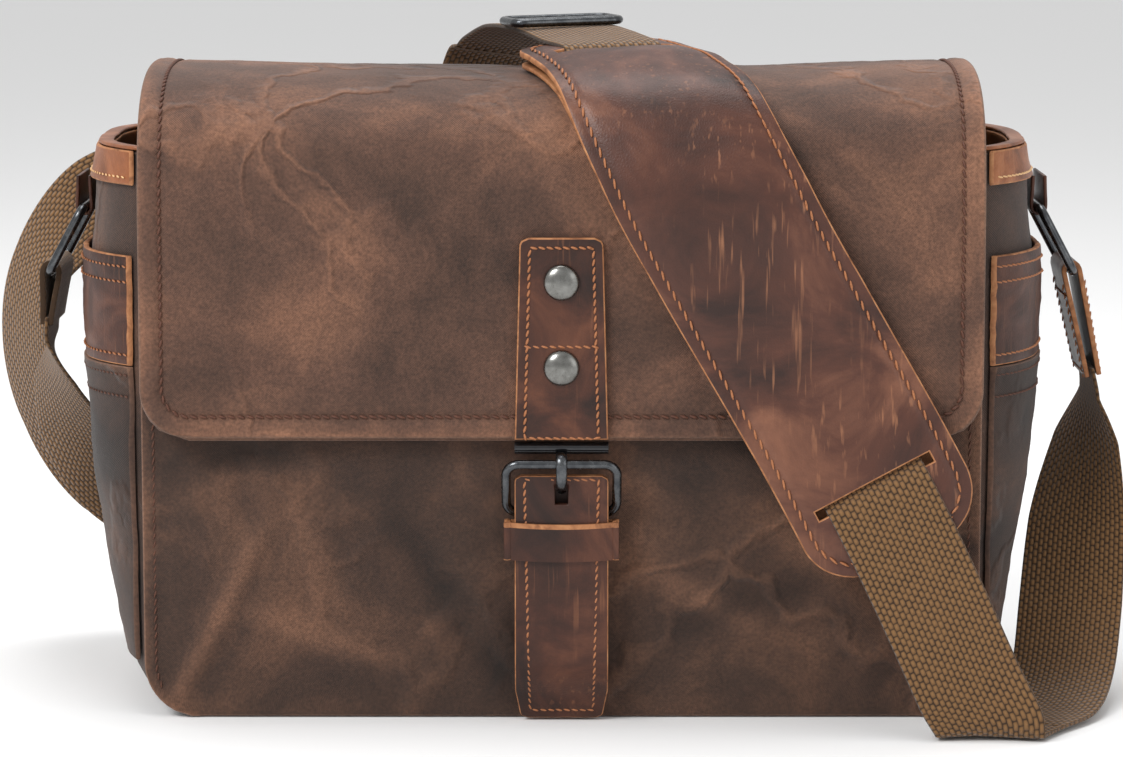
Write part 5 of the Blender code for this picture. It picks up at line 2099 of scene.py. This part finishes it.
        last = self.lane.length
        front = [((0.16, -0.082, 0.002), (0.83, -0.56, 0)),
                 ((0.153, -0.093, 0.0018), (0.88, -0.47, 0.0)),
                 ((0.15, -0.1005, 0.002), (0.96, -0.25, 0.02)),
                 ((0.1488, -0.104, 0.0062), (0.96, -0.05, 0.25))]
        for back in (0.016, 0.034, 0.052, 0.07):
            front.append(self.strap_station(last - back, self.over))
        front += [self.strap_station(self.t_lower + 0.01, self.over),
                  self.strap_station(self.t_lower + 0.0035, self.over - 0.0006),
                  self.strap_station(self.t_lower - 0.001, self.core + 0.0018),
                  self.strap_station(self.t_lower - 0.006, self.core)]
        piece = self.ribbon("webbing_front", front, 120)
        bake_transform(piece)

        inside = [self.strap_station(self.t_lower - 0.006 - k * (
            self.t_lower - self.t_upper - 0.012) / 14, self.core) for k in range(15)]
        self.ribbon("webbing_core", inside, 60, "strap")

        top = [self.strap_station(self.t_upper + 0.006, self.core),
               self.strap_station(self.t_upper + 0.001, self.core + 0.0018),
               self.strap_station(self.t_upper - 0.0035, self.over - 0.0006)]
        for k in range(1, 6):
            t = self.t_upper - 0.0035 - k * (self.t_upper - 0.0135) / 5
            top.append(self.strap_station(t, self.over))
        top += [self.strap_station(0.004, self.over - 0.001)]
        self.ribbon("webbing_top", top, 60, "strap")

        first = self.strap_station(0.004, self.over - 0.001)
        second = self.strap_station(-0.006, self.over - 0.001)
        turned_back = [(first[0], -first[1]), (second[0], -second[1]),
                       ((-0.033, 0.085, 0.208), (-0.86, 0.1, -0.5)),
                       ((-0.042, 0.085, 0.183), (-0.72, 0.02, -0.68)),
                       ((-0.062, 0.082, 0.168), (-0.45, 0, -0.9)),
                       ((-0.088, 0.081, 0.168), (-0.2, 0, -0.98)),
                       ((-0.122, 0.081, 0.175), (-0.08, 0, -0.99)),
                       ((-0.157, 0.081, 0.178), (0.1, 0, -0.99))]
        piece = self.ribbon("webbing_back", turned_back, 100)
        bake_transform(piece)

        outer = [((-0.157, 0.081, 0.178), (0.1, 0, -0.99)),
                 ((-0.183, 0.076, 0.17), (0.4, -0.45, -0.8)),
                 ((-0.201, 0.064, 0.148), (0.55, -0.75, -0.3)),
                 ((-0.206, 0.06, 0.12), (0.58, -0.8, 0)),
                 ((-0.199, 0.066, 0.09), (0.58, -0.75, 0.3)),
                 ((-0.18, 0.082, 0.065), (0.5, -0.35, 0.8)),
                 ((-0.152, 0.096, 0.05), (0.3, -0.1, 0.95)),
                 ((-0.125, 0.099, 0.044), (0.05, 0.0, 0.99)),
                 ((-0.116, 0.0925, 0.0435), (0.0, 0.0, 1.0)),
                 ((-0.123, 0.0855, 0.044), (0.05, 0.0, 0.99))]
        self.ribbon("webbing_left_outer", outer, 150, "root")
        inner = [((-0.123, 0.0855, 0.044), (0.05, 0.0, 0.99)),
                 ((-0.14, 0.082, 0.046), (0.12, -0.05, 0.99)),
                 ((-0.162, 0.0745, 0.055), (0.36, -0.25, 0.9)),
                 ((-0.1785, 0.06, 0.069), (0.55, -0.48, 0.68)),
                 ((-0.1865, 0.044, 0.088), (0.76, -0.62, 0.18)),
                 ((-0.1905, 0.023, 0.11), (0.5, -0.86, 0)),
                 ((-0.19, 0.0112, 0.128), (0.02, -1, 0)),
                 ((-0.1893, 0.011, 0.137), (0, -1, 0))]
        piece = self.ribbon("webbing_left_inner", inner, 110)
        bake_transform(piece)

    def make_slider(self) -> None:
        """The metal slider: a bent wire frame with a middle bar."""
        f = self.finishes
        t = self.t_slider
        lift = self.over + self.thick / 2 + 0.0018
        along = self.surface(t + 0.004, 0, lift) - self.surface(t - 0.004, 0, lift)
        across = self.surface(t, 0.01, lift) - self.surface(t, -0.01, lift)
        along, across = along.normalized(), across.normalized()
        centre = self.surface(t, 0, lift)
        points = [centre + across * p.x + along * p.y for p in rounded_loop(0.0212, 0.0085, 0.004)]
        ring = tube("slider_frame_wire", points, 0.0016, f.gunmetal, closed=True)
        settle(ring, "strap", "gunmetal", "slider_frame")
        bar = [centre + across * (0.0198 - 0.0396 * k / 8) for k in range(9)]
        settle(tube("slider_bar_wire", bar, 0.0013, f.gunmetal), "strap", "gunmetal")


# ---- studio --------------------------------------------------------------------------------
@dataclass
class Studio:
    """Pale floor, soft lights and the camera."""

    aim: Vector = field(default_factory=lambda: Vector((0.0, -0.077, 0.124)))
    distance: float = 1.39
    elevation: float = math.radians(8)
    lens: float = 127.0

    def build(self) -> None:
        """Sets the stage."""
        scene = bpy.context.scene
        camera = bpy.data.objects.new("camera", bpy.data.cameras.new("camera"))
        camera.data.lens = self.lens
        camera.data.sensor_width = 36.0
        camera.data.clip_start = 0.05
        camera.location = self.aim + self.distance * Vector(
            (0, -math.cos(self.elevation), math.sin(self.elevation)))
        camera.rotation_euler = (math.pi / 2 - self.elevation, 0, 0)
        scene.collection.objects.link(camera)
        scene.camera = camera
        scene.view_settings.view_transform = "Standard"

        world = bpy.data.worlds.new("soft white room")
        world.use_nodes = True
        world.node_tree.nodes["Background"].inputs["Color"].default_value = (1, 1, 1, 1)
        world.node_tree.nodes["Background"].inputs["Strength"].default_value = 0.75
        scene.world = world
        for name, place, size, power in (
                ("key", (-1.1, -1.3, 1.5), 0.8, 31.0), ("fill", (1.5, -1.2, 0.7), 1.2, 5.0),
                ("top", (0.0, 0.3, 1.7), 1.0, 14.0)):
            light = bpy.data.objects.new(name, bpy.data.lights.new(name, "AREA"))
            light.data.size = size
            light.data.energy = power
            light.location = place
            aim = self.aim - Vector(place)
            light.rotation_euler = aim.to_track_quat("-Z", "Y").to_euler()
            scene.collection.objects.link(light)

        bm = bmesh.new()
        bmesh.ops.create_grid(bm, x_segments=1, y_segments=1, size=6.0)
        material, shader = new_material("pale floor")
        shader.inputs["Base Color"].default_value = (0.86, 0.86, 0.86, 1)
        shader.inputs["Roughness"].default_value = 0.9
        floor = finished("floor", bm, [material])
        for vert in floor.data.vertices:
            vert.co.z = -0.0002
        floor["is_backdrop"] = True


def main() -> None:
    """Builds the studio and the bag, piece by piece."""
    Studio().build()
    finishes = Finishes()
    seams = Seamstress()
    shell = BagShell(finishes, seams)
    shell.build()
    PaddedInsert(finishes).build()
    flap = Flap(finishes, seams)
    flap.build()
    Closure(finishes, seams, shell).build()
    StrapRings(finishes, seams).build()
    ShoulderStrap(finishes, seams, flap).build()


if __name__ == "__main__":
    main()
    boxes = {"cad": CAD_BOX, "visual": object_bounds()}
    {k: [list(map(float, c)) for c in b] for k, b in boxes.items()}
